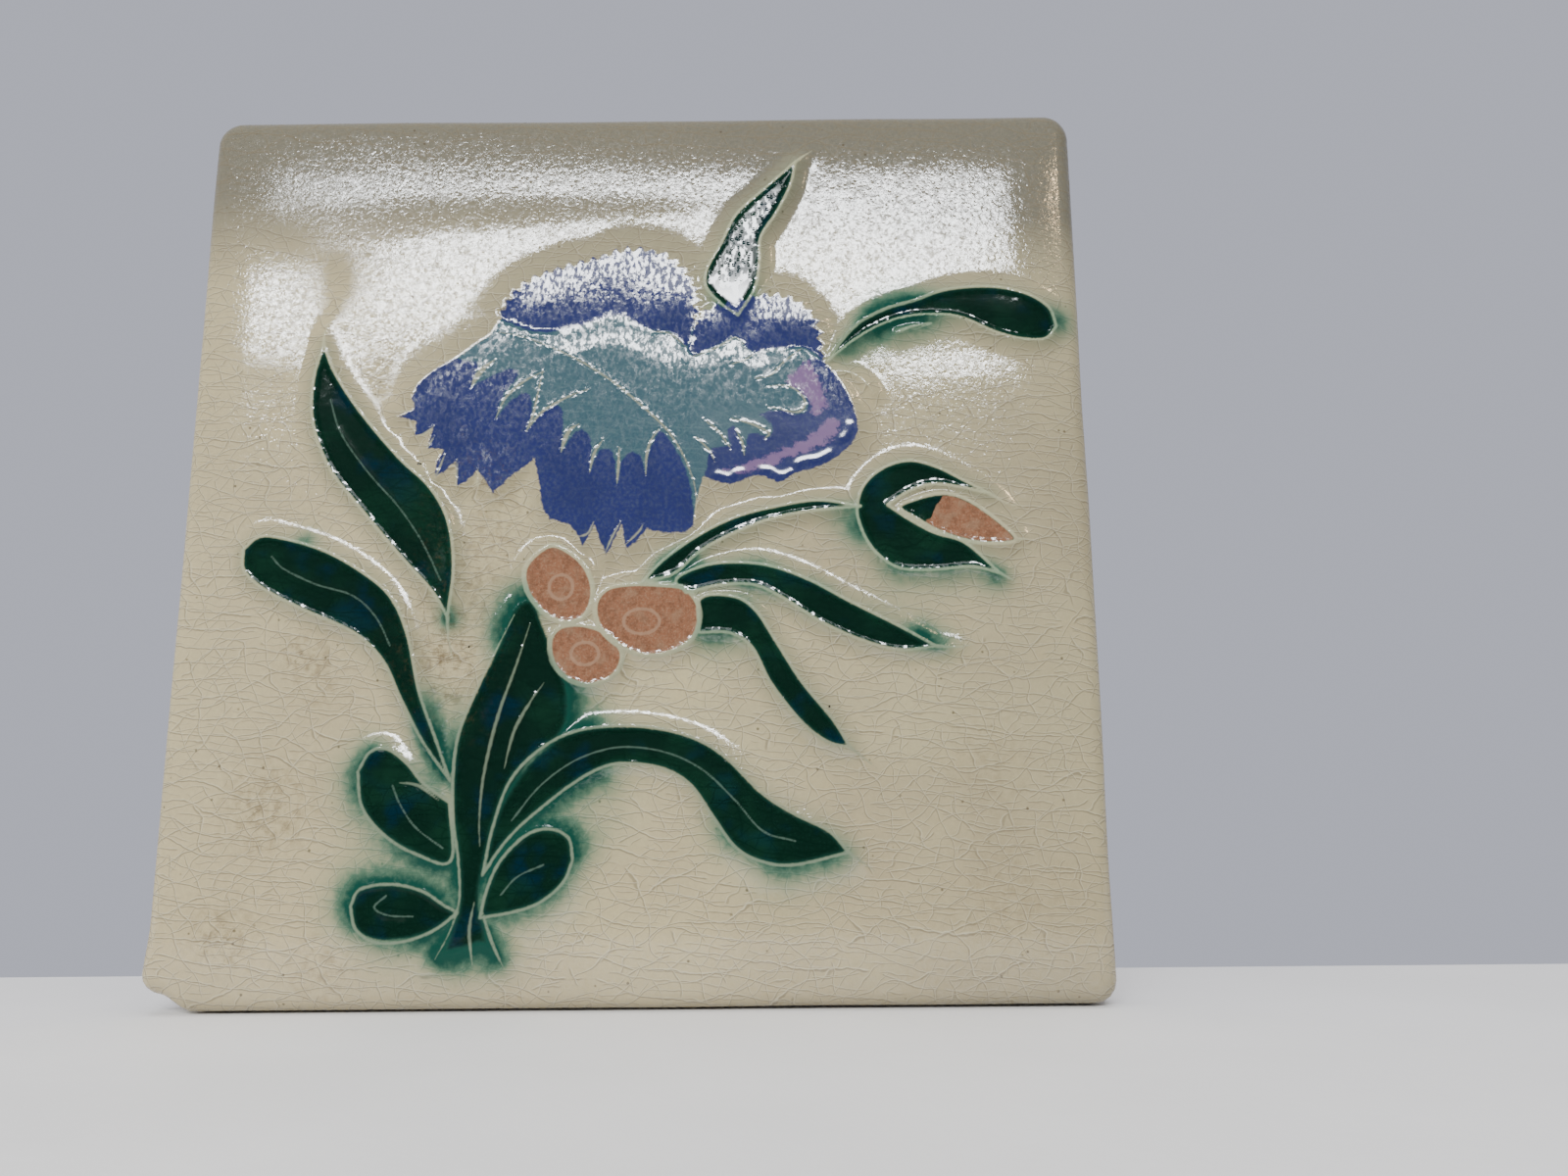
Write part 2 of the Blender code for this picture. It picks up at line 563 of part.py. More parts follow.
def build_tile():
    """The whole tile as one closed body."""
    edge_round = min(EDGE_ROUND, ROUND_SHARE * min(TOP_CORNER_ROUND, BOTTOM_CORNER_ROUND))
    rim = plan_outline(edge_round)
    flat, heights, triangles = face_mesh(rim)
    mesh = bmesh.new()
    depths = THICKNESS + heights
    shown = squashed(flat)
    face_vertices = [mesh.verts.new((x, -depth, z)) for (x, z), depth in zip(shown, depths)]
    for a, b, c in triangles:
        mesh.faces.new((face_vertices[a], face_vertices[b], face_vertices[c]))
    rim_row = [face_vertices[np.linalg.norm(flat - point, axis=1).argmin()] for point in rim]
    shoulder = THICKNESS - PILLOW_DROP
    previous = rim_row
    for step in range(1, ROUND_STEPS + 1):
        turn = math.pi / 2 * step / ROUND_STEPS
        row = add_row(mesh, plan_outline(edge_round * (1 - math.sin(turn))),
                      shoulder - edge_round * (1 - math.cos(turn)))
        bridge(mesh, previous, row)
        previous = row
    side_row = add_row(mesh, plan_outline(0.0), BACK_CHAMFER)
    bridge(mesh, previous, side_row)
    back_plan = plan_outline(BACK_CHAMFER)
    back_row = add_row(mesh, back_plan, 0.0)
    bridge(mesh, side_row, back_row)
    build_back(mesh, back_row, back_plan)
    bmesh.ops.triangulate(mesh, faces=[face for face in mesh.faces if len(face.verts) > 3])
    mesh.normal_update()
    data = bpy.data.meshes.new("tile")
    mesh.to_mesh(data)
    mesh.free()
    data.shade_smooth()
    data.set_sharp_from_angle(angle=math.radians(SHARP_ANGLE))
    tile = bpy.data.objects.new("tile", data)
    bpy.context.scene.collection.objects.link(tile)
    return tile


def glaze_material():
    material = bpy.data.materials.new("cream_glaze")
    material.use_nodes = True
    shader = material.node_tree.nodes["Principled BSDF"]
    shader.inputs["Base Color"].default_value = COLOUR
    shader.inputs["Roughness"].default_value = ROUGHNESS
    shader.inputs["Metallic"].default_value = 0.0
    return material


def main():
    clear_scene()
    tile = build_tile()
    tile.data.materials.append(glaze_material())


main()
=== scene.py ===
"""Floral relief tile: the finely modelled face, its glazes, and a plain stage.

Laid out as a Blender add-on and run as a script. The drawing of the spray is in millimetres on a tile
152.4 mm wide, with X to the right, Z up and the decorated face towards -Y.
"""

import math

import bmesh
import bpy
import numpy as np
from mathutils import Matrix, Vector, noise


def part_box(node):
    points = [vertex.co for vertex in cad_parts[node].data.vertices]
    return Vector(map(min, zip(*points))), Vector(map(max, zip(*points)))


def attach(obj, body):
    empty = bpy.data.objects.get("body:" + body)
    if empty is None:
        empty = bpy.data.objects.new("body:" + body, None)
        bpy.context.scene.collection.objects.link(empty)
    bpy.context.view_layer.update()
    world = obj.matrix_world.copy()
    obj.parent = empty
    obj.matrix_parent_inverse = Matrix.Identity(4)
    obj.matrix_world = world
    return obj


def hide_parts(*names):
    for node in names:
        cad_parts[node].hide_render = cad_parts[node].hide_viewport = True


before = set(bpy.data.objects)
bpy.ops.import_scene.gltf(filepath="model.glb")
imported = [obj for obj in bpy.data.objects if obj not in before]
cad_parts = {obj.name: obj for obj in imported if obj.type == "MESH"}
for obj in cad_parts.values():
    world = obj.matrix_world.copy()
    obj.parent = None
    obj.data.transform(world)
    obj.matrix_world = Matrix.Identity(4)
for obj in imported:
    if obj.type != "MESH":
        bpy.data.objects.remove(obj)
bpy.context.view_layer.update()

bl_info = {
    "name": "Floral relief tile",
    "version": (1, 0, 0),
    "blender": (4, 5, 0),
    "location": "View3D > Sidebar > Tile",
    "description": "Models a glazed relief tile over its CAD solid, with its stage",
    "category": "Add Mesh",
}

TILE_LOW, TILE_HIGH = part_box("tile")
SIDE = TILE_HIGH.z - TILE_LOW.z
RELIEF_TOP = -TILE_LOW.y
DRAWING_SIDE = 152.4
UNIT = SIDE / DRAWING_SIDE
MM = 0.001

# Places in the drawing were measured against the tile's outer edge, which lies behind its face. These
# bring a measured place onto the face: a shift, and the shares of the measured X and Z.
FACE_X = (0.35, 0.974, -0.0054)
FACE_Z = (-0.49, -0.0063, 0.980)
# How far the drawing's lines are felt, in drawing units
REACH = 7.0
# Width of the square patches that the drawing is searched in
PATCH = 6.0

# Half widths of the cream on the raised lines
OUTLINE_CREAM = 0.22
BERRY_CREAM = 0.40
BUD_CREAM = 0.30
STALK_CREAM = 0.25
NOTCH_CREAM = 0.18
WEDGE_CREAM = 0.30
# Share of the flower's line widths that is cream
PETAL_LINE_CREAM = 0.42
# Rise over the floor of the lines inside the flower, and of the rolls of glaze in it
PETAL_LINE_RISE = 0.02
ROLL_RISE = 0.085
# Rounding of the crests, and the powers by which a line's two slopes fall
CREST_ROUNDING = 0.25
OUTER_POWER = 1.7
INNER_POWER = 1.5
# The floor's own slight doming: its height, how far from the edge it rises, and its power
DOME_HEIGHT = 0.02
DOME_REACH = 3.0
DOME_POWER = 0.7

# Each leaf: one side from base to tip, the other side from tip to base, and its midrib
LEAVES = {
    "upper_left": (
        [(-31.6, -14.6), (-34.4, -10.2), (-40.5, -3.6), (-47.6, 4.6), (-53.0, 11.4), (-56.2, 19.5),
         (-56.5, 27.0), (-55.1, 33.4)],
        [(-55.1, 33.4), (-52.7, 28.0), (-47.9, 21.0), (-41.0, 13.0), (-35.6, 7.9), (-32.2, 2.0),
         (-30.9, -6.0), (-31.6, -14.6)],
        [(-53.4, 23.4), (-51.2, 17.3), (-46.2, 10.4), (-40.5, 4.1), (-36.4, -1.8), (-33.0, -8.4)]),
    "left_paddle": (
        [(-30.2, -41.5), (-34.8, -35.3), (-38.8, -28.2), (-42.0, -22.0), (-47.0, -17.3), (-55.8, -13.3),
         (-62.5, -9.9), (-66.2, -6.6), (-66.6, -3.0)],
        [(-66.6, -3.0), (-64.0, -0.8), (-60.0, -1.1), (-53.0, -3.2), (-46.6, -6.7), (-41.4, -11.0),
         (-38.2, -17.4), (-35.8, -27.0), (-33.0, -34.2), (-30.2, -41.5)],
        [(-61.8, -4.2), (-59.5, -6.4), (-54.0, -9.0), (-47.6, -11.0), (-43.6, -14.6), (-41.0, -19.4)]),
    "base_upper": (
        [(-30.1, -45.0), (-34.4, -42.0), (-37.4, -38.6), (-40.6, -36.4), (-43.4, -36.8), (-45.3, -40.0)],
        [(-45.3, -40.0), (-44.4, -45.6), (-40.7, -50.0), (-35.5, -53.0), (-29.6, -54.2), (-30.1, -45.0)],
        [(-39.6, -42.2), (-38.0, -45.6), (-35.4, -49.0), (-31.0, -52.2)]),
    "base_lower": (
        [(-28.2, -62.2), (-31.5, -64.7), (-36.0, -66.5), (-41.0, -66.8), (-44.4, -64.7), (-45.4, -61.2)],
        [(-45.4, -61.2), (-44.0, -58.6), (-39.1, -57.8), (-34.2, -58.8), (-30.5, -61.0), (-28.2, -62.2)],
        [(-39.8, -59.6), (-41.6, -61.4), (-39.4, -62.6), (-35.4, -62.8)]),
    "base_right": (
        [(-24.6, -63.0), (-19.6, -62.2), (-15.1, -60.7), (-11.4, -57.6), (-9.9, -54.0)],
        [(-9.9, -54.0), (-10.7, -50.6), (-13.8, -49.2), (-17.6, -50.2), (-21.6, -54.2), (-23.6, -58.6),
         (-24.6, -63.0)],
        [(-21.4, -59.5), (-18.8, -56.7), (-14.6, -54.8)]),
    "low_sweep": (
        [(-24.4, -56.4), (-21.2, -51.6), (-17.6, -47.9), (-11.0, -42.6), (-5.8, -39.6), (-1.6, -38.8),
         (4.4, -39.6), (9.0, -42.2), (12.7, -47.3), (16.4, -52.2), (20.6, -54.4), (26.0, -54.9),
         (34.6, -53.0)],
        [(34.6, -53.0), (31.5, -49.6), (26.0, -46.9), (20.8, -43.6), (14.7, -37.7), (9.4, -34.6),
         (3.0, -33.0), (-4.0, -32.7), (-10.6, -33.8), (-16.0, -36.8), (-20.4, -41.6), (-22.9, -48.6),
         (-24.4, -56.4)],
        [(-20.0, -47.9), (-15.5, -42.4), (-9.6, -38.2), (-2.8, -36.2), (4.6, -36.9), (11.0, -39.8),
         (16.4, -44.8), (20.8, -49.6), (26.0, -51.2)]),
    "right_lower": (
        [(10.5, -17.3), (15.6, -17.4), (19.3, -19.8), (22.4, -25.8), (27.4, -32.2), (31.6, -35.4),
         (35.3, -36.3)],
        [(35.3, -36.3), (32.6, -31.8), (27.6, -25.6), (23.6, -19.2), (20.0, -13.6), (16.2, -11.2),
         (10.7, -11.6), (10.5, -17.3)],
        []),
    "right_upper": (
        [(8.4, -10.6), (14.2, -9.3), (19.8, -9.3), (24.4, -11.4), (31.0, -15.6), (37.7, -18.7),
         (44.0, -20.3), (50.0, -19.7)],
        [(50.0, -19.7), (43.8, -16.2), (36.0, -12.2), (29.0, -8.4), (22.4, -6.0), (15.7, -5.4),
         (10.6, -6.2), (6.6, -8.4), (8.4, -10.6)],
        []),
    "bud_stem": (
        [(1.0, -8.7), (6.2, -7.4), (10.6, -3.6), (16.0, -0.6), (22.0, 1.8), (29.0, 3.3), (38.0, 4.2)],
        [(38.0, 4.2), (31.0, 5.3), (24.0, 4.3), (17.0, 2.5), (10.6, -0.6), (4.6, -4.9), (1.0, -8.7)],
        []),
    "top_right": (
        [(33.0, 30.2), (36.7, 33.4), (41.4, 36.4), (46.8, 38.4), (52.6, 38.8), (57.0, 38.1), (62.4, 35.6),
         (67.0, 34.3), (71.2, 34.3), (73.3, 36.6)],
        [(73.3, 36.6), (72.0, 40.2), (67.6, 42.8), (61.4, 43.9), (54.0, 43.3), (48.6, 41.4), (43.4, 39.8),
         (38.6, 37.2), (35.4, 33.8), (33.0, 30.2)],
        []),
    "top_spike": (
        [(17.4, 38.6), (20.4, 43.6), (21.3, 48.6), (21.6, 53.4), (24.4, 58.0), (27.0, 63.4), (27.9, 67.8)],
        [(27.9, 67.8), (21.9, 62.3), (17.2, 57.7), (14.6, 52.4), (12.0, 47.4), (11.8, 44.0), (14.2, 41.0),
         (17.4, 38.6)],
        []),
}

# Stalk cluster below the berries, and the raised lines that run up it
STALK = [(-31.4, -69.0), (-29.2, -65.0), (-28.0, -60.4), (-28.4, -54.0), (-29.5, -47.4), (-29.7, -40.0),
         (-28.9, -33.6), (-26.2, -26.6), (-23.0, -19.6), (-20.4, -13.2), (-17.6, -12.0), (-15.4, -16.4),
         (-13.2, -22.0), (-11.2, -27.6), (-12.0, -33.6), (-17.6, -39.0), (-22.2, -46.5), (-24.2, -55.0),
         (-24.7, -61.0), (-23.0, -66.4), (-20.9, -70.2), (-24.0, -67.4), (-26.4, -68.2)]
STALK_LINES = [
    [(-31.6, -69.4), (-29.4, -65.2), (-28.0, -60.4), (-28.4, -54.0), (-29.5, -47.4), (-29.7, -40.0),
     (-28.9, -33.6), (-26.2, -26.6), (-23.0, -19.6), (-20.4, -14.2)],
    [(-25.0, -52.0), (-25.2, -47.0), (-24.6, -40.0), (-22.6, -31.0), (-19.8, -22.6), (-17.7, -15.6)],
    [(-21.4, -39.5), (-19.9, -33.6), (-17.6, -29.2), (-15.2, -25.6)],
    [(-25.6, -60.6), (-26.2, -65.0), (-25.6, -70.4)],
    [(-24.4, -61.6), (-22.8, -66.2), (-20.6, -70.8)],
    [(-38.4, -41.8), (-35.3, -42.3), (-32.0, -44.6)],
]

# Three berries, each an outline with a small ring in it: centre, radius across, radius up
BERRIES = [
    ([(-14.9, -2.5), (-11.4, -3.6), (-8.4, -6.6), (-7.3, -10.6), (-8.6, -14.4), (-11.8, -15.6),
      (-15.4, -14.0), (-18.4, -10.2), (-18.7, -6.0)],
     (-12.7, -9.6, 2.0, 2.1)),
    ([(-6.9, -12.6), (-5.2, -10.0), (-1.6, -9.1), (4.0, -9.2), (8.4, -10.0), (10.6, -13.4), (9.9, -17.6),
      (6.8, -20.2), (1.9, -21.2), (-3.0, -19.4), (-6.2, -16.2)],
     (0.9, -15.4, 3.0, 2.1)),
    ([(-14.3, -18.4), (-12.4, -16.2), (-8.6, -16.0), (-5.0, -17.4), (-2.3, -20.6), (-3.4, -24.2),
      (-7.4, -26.0), (-11.2, -25.0), (-13.8, -22.2)],
     (-8.5, -20.8, 2.3, 1.9)),
]

# Bud: the green calyx with its two pointed sepals, and the petal between them
CALYX_OUTER = [(61.2, -7.4), (56.6, -6.3), (50.0, -6.8), (44.4, -6.5), (40.8, -4.2), (38.6, -1.0),
               (37.4, 3.4), (38.6, 7.8), (42.2, 11.0), (46.8, 12.2), (51.4, 11.0), (55.6, 8.8),
               (60.0, 6.4)]
CALYX_INNER = [[(60.0, 6.4), (54.6, 7.6), (50.2, 8.0), (46.4, 6.8), (42.6, 4.4)],
               [(42.6, 4.4), (46.4, 1.8), (50.4, -0.4), (55.6, -2.2), (61.2, -7.4)]]
BUD_PETAL = [(44.6, 4.0), (48.0, 5.6), (52.2, 6.4), (56.0, 5.4), (60.4, 2.4), (64.2, -1.6), (60.0, -2.3),
             (55.4, -1.7), (51.0, -0.1), (47.6, 1.9)]

# Flower: its edge in runs, clockwise from the left end of the back petal.
# A run is drawn smooth, cut with small even teeth, or taken straight from point to point.
FLOWER_EDGE = [
    ("toothed", [(-24.6, 38.2), (-22.4, 42.4), (-17.1, 46.3), (-9.6, 48.6), (-2.4, 50.8), (3.4, 50.3),
                 (7.8, 46.8), (9.9, 42.4), (9.6, 36.6)]),
    ("toothed", [(9.6, 36.6), (12.6, 39.8), (17.0, 41.0), (22.0, 42.2), (27.0, 41.4), (30.6, 38.0),
                 (32.2, 30.4)]),
    ("smooth", [(32.2, 30.4), (35.4, 26.2), (37.4, 21.6), (37.9, 17.2), (35.6, 14.0), (31.6, 11.4),
                (26.4, 9.7), (24.4, 8.4), (20.6, 9.6), (15.8, 8.2), (11.4, 9.3)]),
    ("smooth", [(11.4, 9.3), (10.3, 5.0), (9.7, 1.1)]),
    ("straight", [(9.7, 1.1), (8.4, -0.3), (4.5, -0.4), (1.6, 0.4), (0.0, -1.8), (-1.9, -3.2), (-2.6, 1.0),
                  (-3.9, -1.6), (-5.2, -4.3), (-6.3, -1.6), (-7.3, 1.0), (-8.2, -1.2), (-9.2, -2.5),
                  (-10.3, -0.4), (-11.6, 1.2), (-13.4, 1.7), (-15.0, 2.2), (-16.2, 4.1), (-16.9, 8.6),
                  (-17.8, 12.7)]),
    ("straight", [(-17.8, 12.7), (-20.1, 10.7), (-22.6, 8.8), (-24.8, 6.5), (-26.0, 9.0), (-27.6, 10.6),
                  (-29.2, 8.7), (-31.0, 8.0), (-31.2, 12.4), (-33.0, 10.6), (-34.8, 9.4), (-34.6, 12.2),
                  (-33.4, 14.4), (-36.3, 14.6), (-35.4, 18.2), (-37.0, 17.2), (-38.5, 16.9), (-38.4, 19.4),
                  (-41.6, 20.4), (-38.8, 21.6), (-39.3, 23.8)]),
    ("smooth", [(-39.3, 23.8), (-38.2, 26.4), (-35.2, 29.0), (-32.0, 31.0), (-28.4, 33.8), (-26.1, 35.4),
                (-24.6, 38.2)]),
]

# The two blue petals in front: the rounded lobes of their upper border, each between two cream spikes
FRONT_LOBES = [
    [(-32.0, 31.0), (-30.2, 30.4), (-28.0, 30.2), (-28.2, 28.4), (-29.0, 25.8)],
    [(-29.0, 25.8), (-27.0, 26.8), (-24.3, 28.3), (-22.2, 29.0), (-20.9, 28.2), (-21.6, 26.4),
     (-23.4, 24.2), (-24.6, 20.0)],
    [(-24.6, 20.0), (-22.7, 22.5), (-20.9, 24.1), (-19.3, 24.6), (-18.4, 22.8), (-18.5, 20.4),
     (-19.3, 17.7)],
    [(-19.3, 17.7), (-17.3, 20.2), (-15.2, 21.9), (-13.7, 22.2), (-13.0, 20.8), (-12.9, 17.4),
     (-13.2, 13.9)],
    [(-13.2, 13.9), (-11.9, 16.0), (-10.6, 17.6), (-9.3, 17.9), (-8.2, 16.4), (-7.9, 13.6), (-8.2, 10.3)],
    [(-8.2, 10.3), (-7.1, 13.4), (-5.7, 14.6), (-4.4, 14.0), (-3.8, 12.0), (-3.5, 8.3)],
    [(-3.5, 8.3), (-2.8, 12.2), (-1.4, 13.8), (0.2, 13.5), (1.0, 12.2), (1.4, 9.9)],
    [(1.4, 9.9), (1.7, 12.8), (2.6, 15.6), (3.9, 17.7), (5.6, 15.8), (7.5, 12.6), (8.8, 9.0), (9.5, 5.0),
     (9.7, 1.1)],
]
# The right-hand petal's border against the teal, in lobes too
RIGHT_LOBES = [
    [(11.4, 9.3), (12.0, 12.0), (12.6, 14.4), (15.9, 14.9)],
    [(15.9, 14.9), (15.4, 17.4), (16.6, 18.4), (18.3, 13.4)],
    [(18.3, 13.4), (18.9, 16.8), (20.6, 17.2), (22.6, 16.4), (23.0, 18.6), (20.8, 20.6)],
    [(20.8, 20.6), (24.6, 21.4), (28.4, 20.6), (29.3, 23.0), (26.6, 26.4), (29.4, 30.6), (32.2, 30.4)],
]
# Borders of the back petal and of the petal right of it against the teal
BACK_BORDER = [(9.6, 36.6), (8.4, 33.0), (5.4, 35.6), (2.4, 36.0), (-0.4, 37.2), (-3.0, 38.6), (-5.6, 38.5),
               (-9.0, 37.2), (-13.4, 36.0), (-18.4, 35.7), (-24.6, 38.2)]
SIDE_BORDER = [(32.2, 30.4), (29.0, 32.6), (26.0, 32.6), (22.6, 32.5), (20.0, 31.8), (18.4, 33.4),
               (17.0, 34.8), (14.6, 33.6), (11.6, 32.2), (9.4, 31.4), (8.6, 33.0), (9.6, 36.6)]
# Patches of mauve brushed over the right-hand petal
MAUVE_PATCHES = [
    [(25.4, 26.4), (27.7, 29.2), (29.6, 30.2), (31.4, 27.4), (32.4, 24.6), (32.8, 21.6), (30.6, 20.4),
     (29.4, 22.4), (28.2, 24.6)],
    [(32.3, 19.6), (34.2, 20.0), (34.6, 17.2), (32.3, 15.4), (28.2, 13.4), (23.6, 11.6), (19.0, 10.2),
     (14.4, 10.4), (19.0, 12.0), (23.6, 13.6), (28.2, 15.9), (31.2, 17.8)],
]

# Raised cream lines inside the flower: points, greatest half width, and where along the line it is
FLOWER_LINES = [
    ([(-24.6, 35.6), (-20.8, 34.9), (-16.0, 33.1), (-10.6, 30.5), (-4.7, 26.7), (1.0, 21.8), (5.4, 17.3),
      (8.4, 12.0), (10.0, 6.6), (9.7, 1.1)], 0.42, 0.5),
    ([(8.4, 32.8), (5.4, 35.4), (2.4, 35.8)], 0.30, 0.5),
    ([(9.6, 31.2), (12.9, 32.4), (15.6, 33.9), (17.0, 34.6), (18.4, 33.4)], 0.34, 0.5),
    ([(16.1, 29.6), (18.8, 30.6), (20.2, 31.8)], 0.30, 0.5),
    ([(20.4, 27.0), (23.1, 27.7), (25.2, 29.9), (28.6, 32.6)], 0.34, 0.5),
    ([(-29.0, 25.6), (-28.1, 27.6), (-26.6, 29.4), (-25.0, 30.6)], 1.05, 0.4),
    ([(-24.6, 20.0), (-23.0, 23.6), (-20.2, 26.4), (-16.6, 28.4)], 0.50, 0.5),
    ([(-19.3, 17.6), (-18.1, 20.8), (-17.5, 24.0), (-16.7, 28.2)], 0.42, 0.4),
    ([(-19.3, 17.6), (-16.9, 20.8), (-14.0, 22.8), (-11.3, 24.2), (-8.6, 25.2)], 0.48, 0.4),
    ([(-13.2, 13.9), (-12.5, 16.4), (-11.6, 18.0), (-10.2, 18.9)], 0.85, 0.45),
    ([(-8.2, 10.3), (-7.6, 13.4), (-6.0, 16.2)], 0.55, 0.5),
    ([(-3.5, 8.2), (-3.3, 11.6), (-3.2, 14.8)], 0.55, 0.45),
    ([(1.4, 9.9), (1.5, 13.0), (2.2, 15.8), (3.6, 18.0)], 0.50, 0.5),
    ([(22.4, 25.6), (25.8, 25.7), (28.0, 24.4), (28.9, 22.4), (27.4, 20.9), (22.4, 22.0)], 0.40, 0.5),
    ([(16.1, 19.9), (19.6, 18.8), (22.6, 17.2), (21.8, 16.2)], 0.50, 0.6),
    ([(11.3, 19.7), (13.8, 17.6), (15.9, 14.6)], 0.45, 0.6),
    ([(17.0, 17.6), (18.0, 15.4), (18.3, 13.2)], 0.45, 0.5),
    ([(9.9, 16.6), (12.4, 14.0), (13.2, 12.0)], 0.40, 0.4),
    ([(32.8, 29.0), (34.6, 28.5), (37.2, 28.0), (39.4, 26.4), (40.9, 24.4)], 0.30, 0.5),
]
# Low swellings of the glaze that carry no cream
GLAZE_ROLLS = [
    [(36.6, 19.4), (36.2, 17.2), (34.8, 15.6)],
    [(34.2, 14.6), (31.4, 12.7), (28.6, 12.2), (26.0, 10.8)],
    [(27.8, 11.0), (24.6, 9.6), (22.4, 10.6), (19.6, 10.7)],
    [(19.2, 10.2), (17.2, 10.3), (15.6, 9.4), (12.6, 10.2)],
]
# Cream notches cut up into the teeth of the front petals
TOOTH_NOTCHES = [
    [(-38.2, 16.6), (-36.6, 17.4), (-35.2, 18.6)],
    [(-36.4, 14.4), (-35.2, 16.6)],
    [(-34.7, 9.2), (-33.2, 13.4)],
    [(-31.0, 7.6), (-31.0, 12.8)],
    [(-27.4, 7.4), (-27.4, 11.0)],
    [(-10.4, -1.0), (-8.4, -0.4), (-7.4, 1.6)],
    [(-5.4, -3.8), (-4.2, -1.0), (-2.8, 1.6)],
    [(-2.0, -2.4), (0.2, -0.2), (1.0, 1.2)],
]

# Lines that run on past a tip and sink into the ground
WEDGES = [
    [(-55.1, 33.4), (-55.2, 36.0), (-54.0, 38.6)],
    [(-31.6, -14.6), (-31.4, -18.0), (-30.6, -22.0)],
    [(34.6, -53.0), (39.2, -56.2)],
    [(35.3, -36.3), (39.8, -39.8)],
    [(50.0, -19.7), (53.6, -19.8), (56.6, -19.2)],
    [(60.0, 6.4), (63.4, 4.6), (67.0, 4.4)],
    [(64.2, -1.6), (67.4, -1.4)],
    [(61.2, -7.4), (64.4, -9.0)],
    [(27.9, 67.8), (29.6, 69.4), (31.1, 70.6)],
    [(45.6, 35.6), (48.0, 36.6), (51.4, 37.3), (48.0, 35.9)],
]

# Places where the green glaze has bled into the ground: centre, reach, strength, and what the last two
# are multiplied by
BLEED_REACH = 1.65
BLEED_STRENGTH = 0.95
BLEEDS = [
    (-45.2, -56.2, 3.4, 1.0), (-38.0, -55.6, 3.6, 0.55), (-31.4, -56.4, 3.2, 1.0), (-47.4, -62.6, 2.6, 0.6),
    (-38.0, -68.2, 4.4, 0.45), (-31.4, -66.2, 2.6, 0.8), (-27.6, -69.4, 2.4, 1.0), (-24.4, -68.8, 2.4, 0.7),
    (-20.4, -64.8, 3.6, 0.6), (-47.0, -41.0, 2.6, 0.75), (-46.6, -46.6, 2.4, 0.4), (-44.0, -36.0, 2.2, 0.5),
    (-33.0, -34.4, 2.4, 0.9), (-31.4, -39.6, 2.2, 0.9), (-32.6, -28.6, 2.2, 0.6), (-12.4, -31.6, 3.2, 1.0),
    (-11.0, -27.4, 3.4, 0.9), (-8.6, -30.0, 2.6, 0.5), (-18.6, -46.0, 4.2, 1.0), (-12.8, -46.0, 3.6, 0.8),
    (-8.4, -44.0, 3.2, 0.5), (-22.6, -53.0, 3.4, 1.0), (-8.6, -51.6, 2.4, 0.7), (-12.0, -60.4, 3.4, 0.5),
    (-22.6, -12.6, 2.6, 0.9), (-19.4, -10.6, 2.2, 0.8), (-23.8, -17.4, 2.0, 0.7), (45.2, 42.2, 3.0, 1.0),
    (40.6, 39.2, 2.4, 0.6), (49.2, 35.6, 3.2, 0.9), (43.0, 33.6, 2.6, 0.7), (37.2, 31.6, 2.0, 0.6),
    (36.2, 0.6, 2.2, 0.9), (48.2, -17.2, 1.8, 1.0), (52.4, -19.0, 1.8, 0.6), (20.0, -8.0, 3.0, 0.6),
    (30.0, -11.0, 2.0, 0.4), (13.0, -19.0, 2.6, 0.8), (60.6, -8.4, 2.0, 0.7), (44.0, -8.2, 3.2, 0.6),
    (53.0, -8.2, 2.6, 0.5), (-7.6, -43.4, 3.0, 0.9), (-5.0, -48.0, 3.0, 0.6), (75.0, 38.0, 2.0, 0.8),
    (17.0, 39.8, 2.6, 1.0), (14.0, -51.0, 2.6, 0.5), (24.0, -56.8, 3.4, 0.8), (32.4, -55.0, 2.4, 0.6),
    (-31.6, -15.2, 1.4, 0.8), (8.6, -6.4, 2.2, 0.8), (5.0, -6.4, 1.8, 0.5), (-56.0, -0.8, 1.2, 0.6),
]

# Brown stains: centre, reach, strength
STAINS = [
    (-32.0, -19.5, 7.0, 1.0), (-28.0, -8.0, 6.0, 0.7), (-33.0, -3.0, 4.0, 0.6), (-24.0, 0.0, 4.0, 0.5),
    (-55.5, -20.5, 4.0, 0.7), (-52.0, -26.0, 5.0, 0.4), (-26.0, 11.5, 4.2, 0.9), (-31.0, -27.0, 3.6, 0.7),
    (-28.0, -33.0, 4.0, 0.3), (-60.0, -46.0, 7.0, 0.8), (-66.0, -66.0, 5.0, 0.8), (-50.0, -71.0, 5.0, 0.6),
    (-34.0, 6.0, 4.0, 0.3), (-21.0, 4.0, 5.0, 0.3), (-25.3, 11.1, 2.0, 0.9), (-30.6, 17.6, 1.6, 0.5),
    (20.0, 36.0, 2.0, 0.2), (58.0, -38.0, 8.0, 0.3), (60.0, -60.0, 9.0, 0.35),
]

# Worn places of the ground that shine less: centre, reach, strength
MATT_SPOTS = [
    (-53.3, 43.5, 4.0, 0.9), (-53.5, 49.0, 4.6, 0.85), (-54.6, 39.4, 2.4, 0.7), (-61.0, 53.0, 5.4, 0.85),
    (-68.0, 55.0, 5.0, 0.7), (-44.6, 24.4, 3.2, 0.9), (-41.0, 28.4, 3.0, 0.7), (-60.6, 27.0, 3.2, 0.8),
    (-66.0, 28.0, 4.0, 0.8), (-72.0, 28.0, 4.0, 0.8),
]

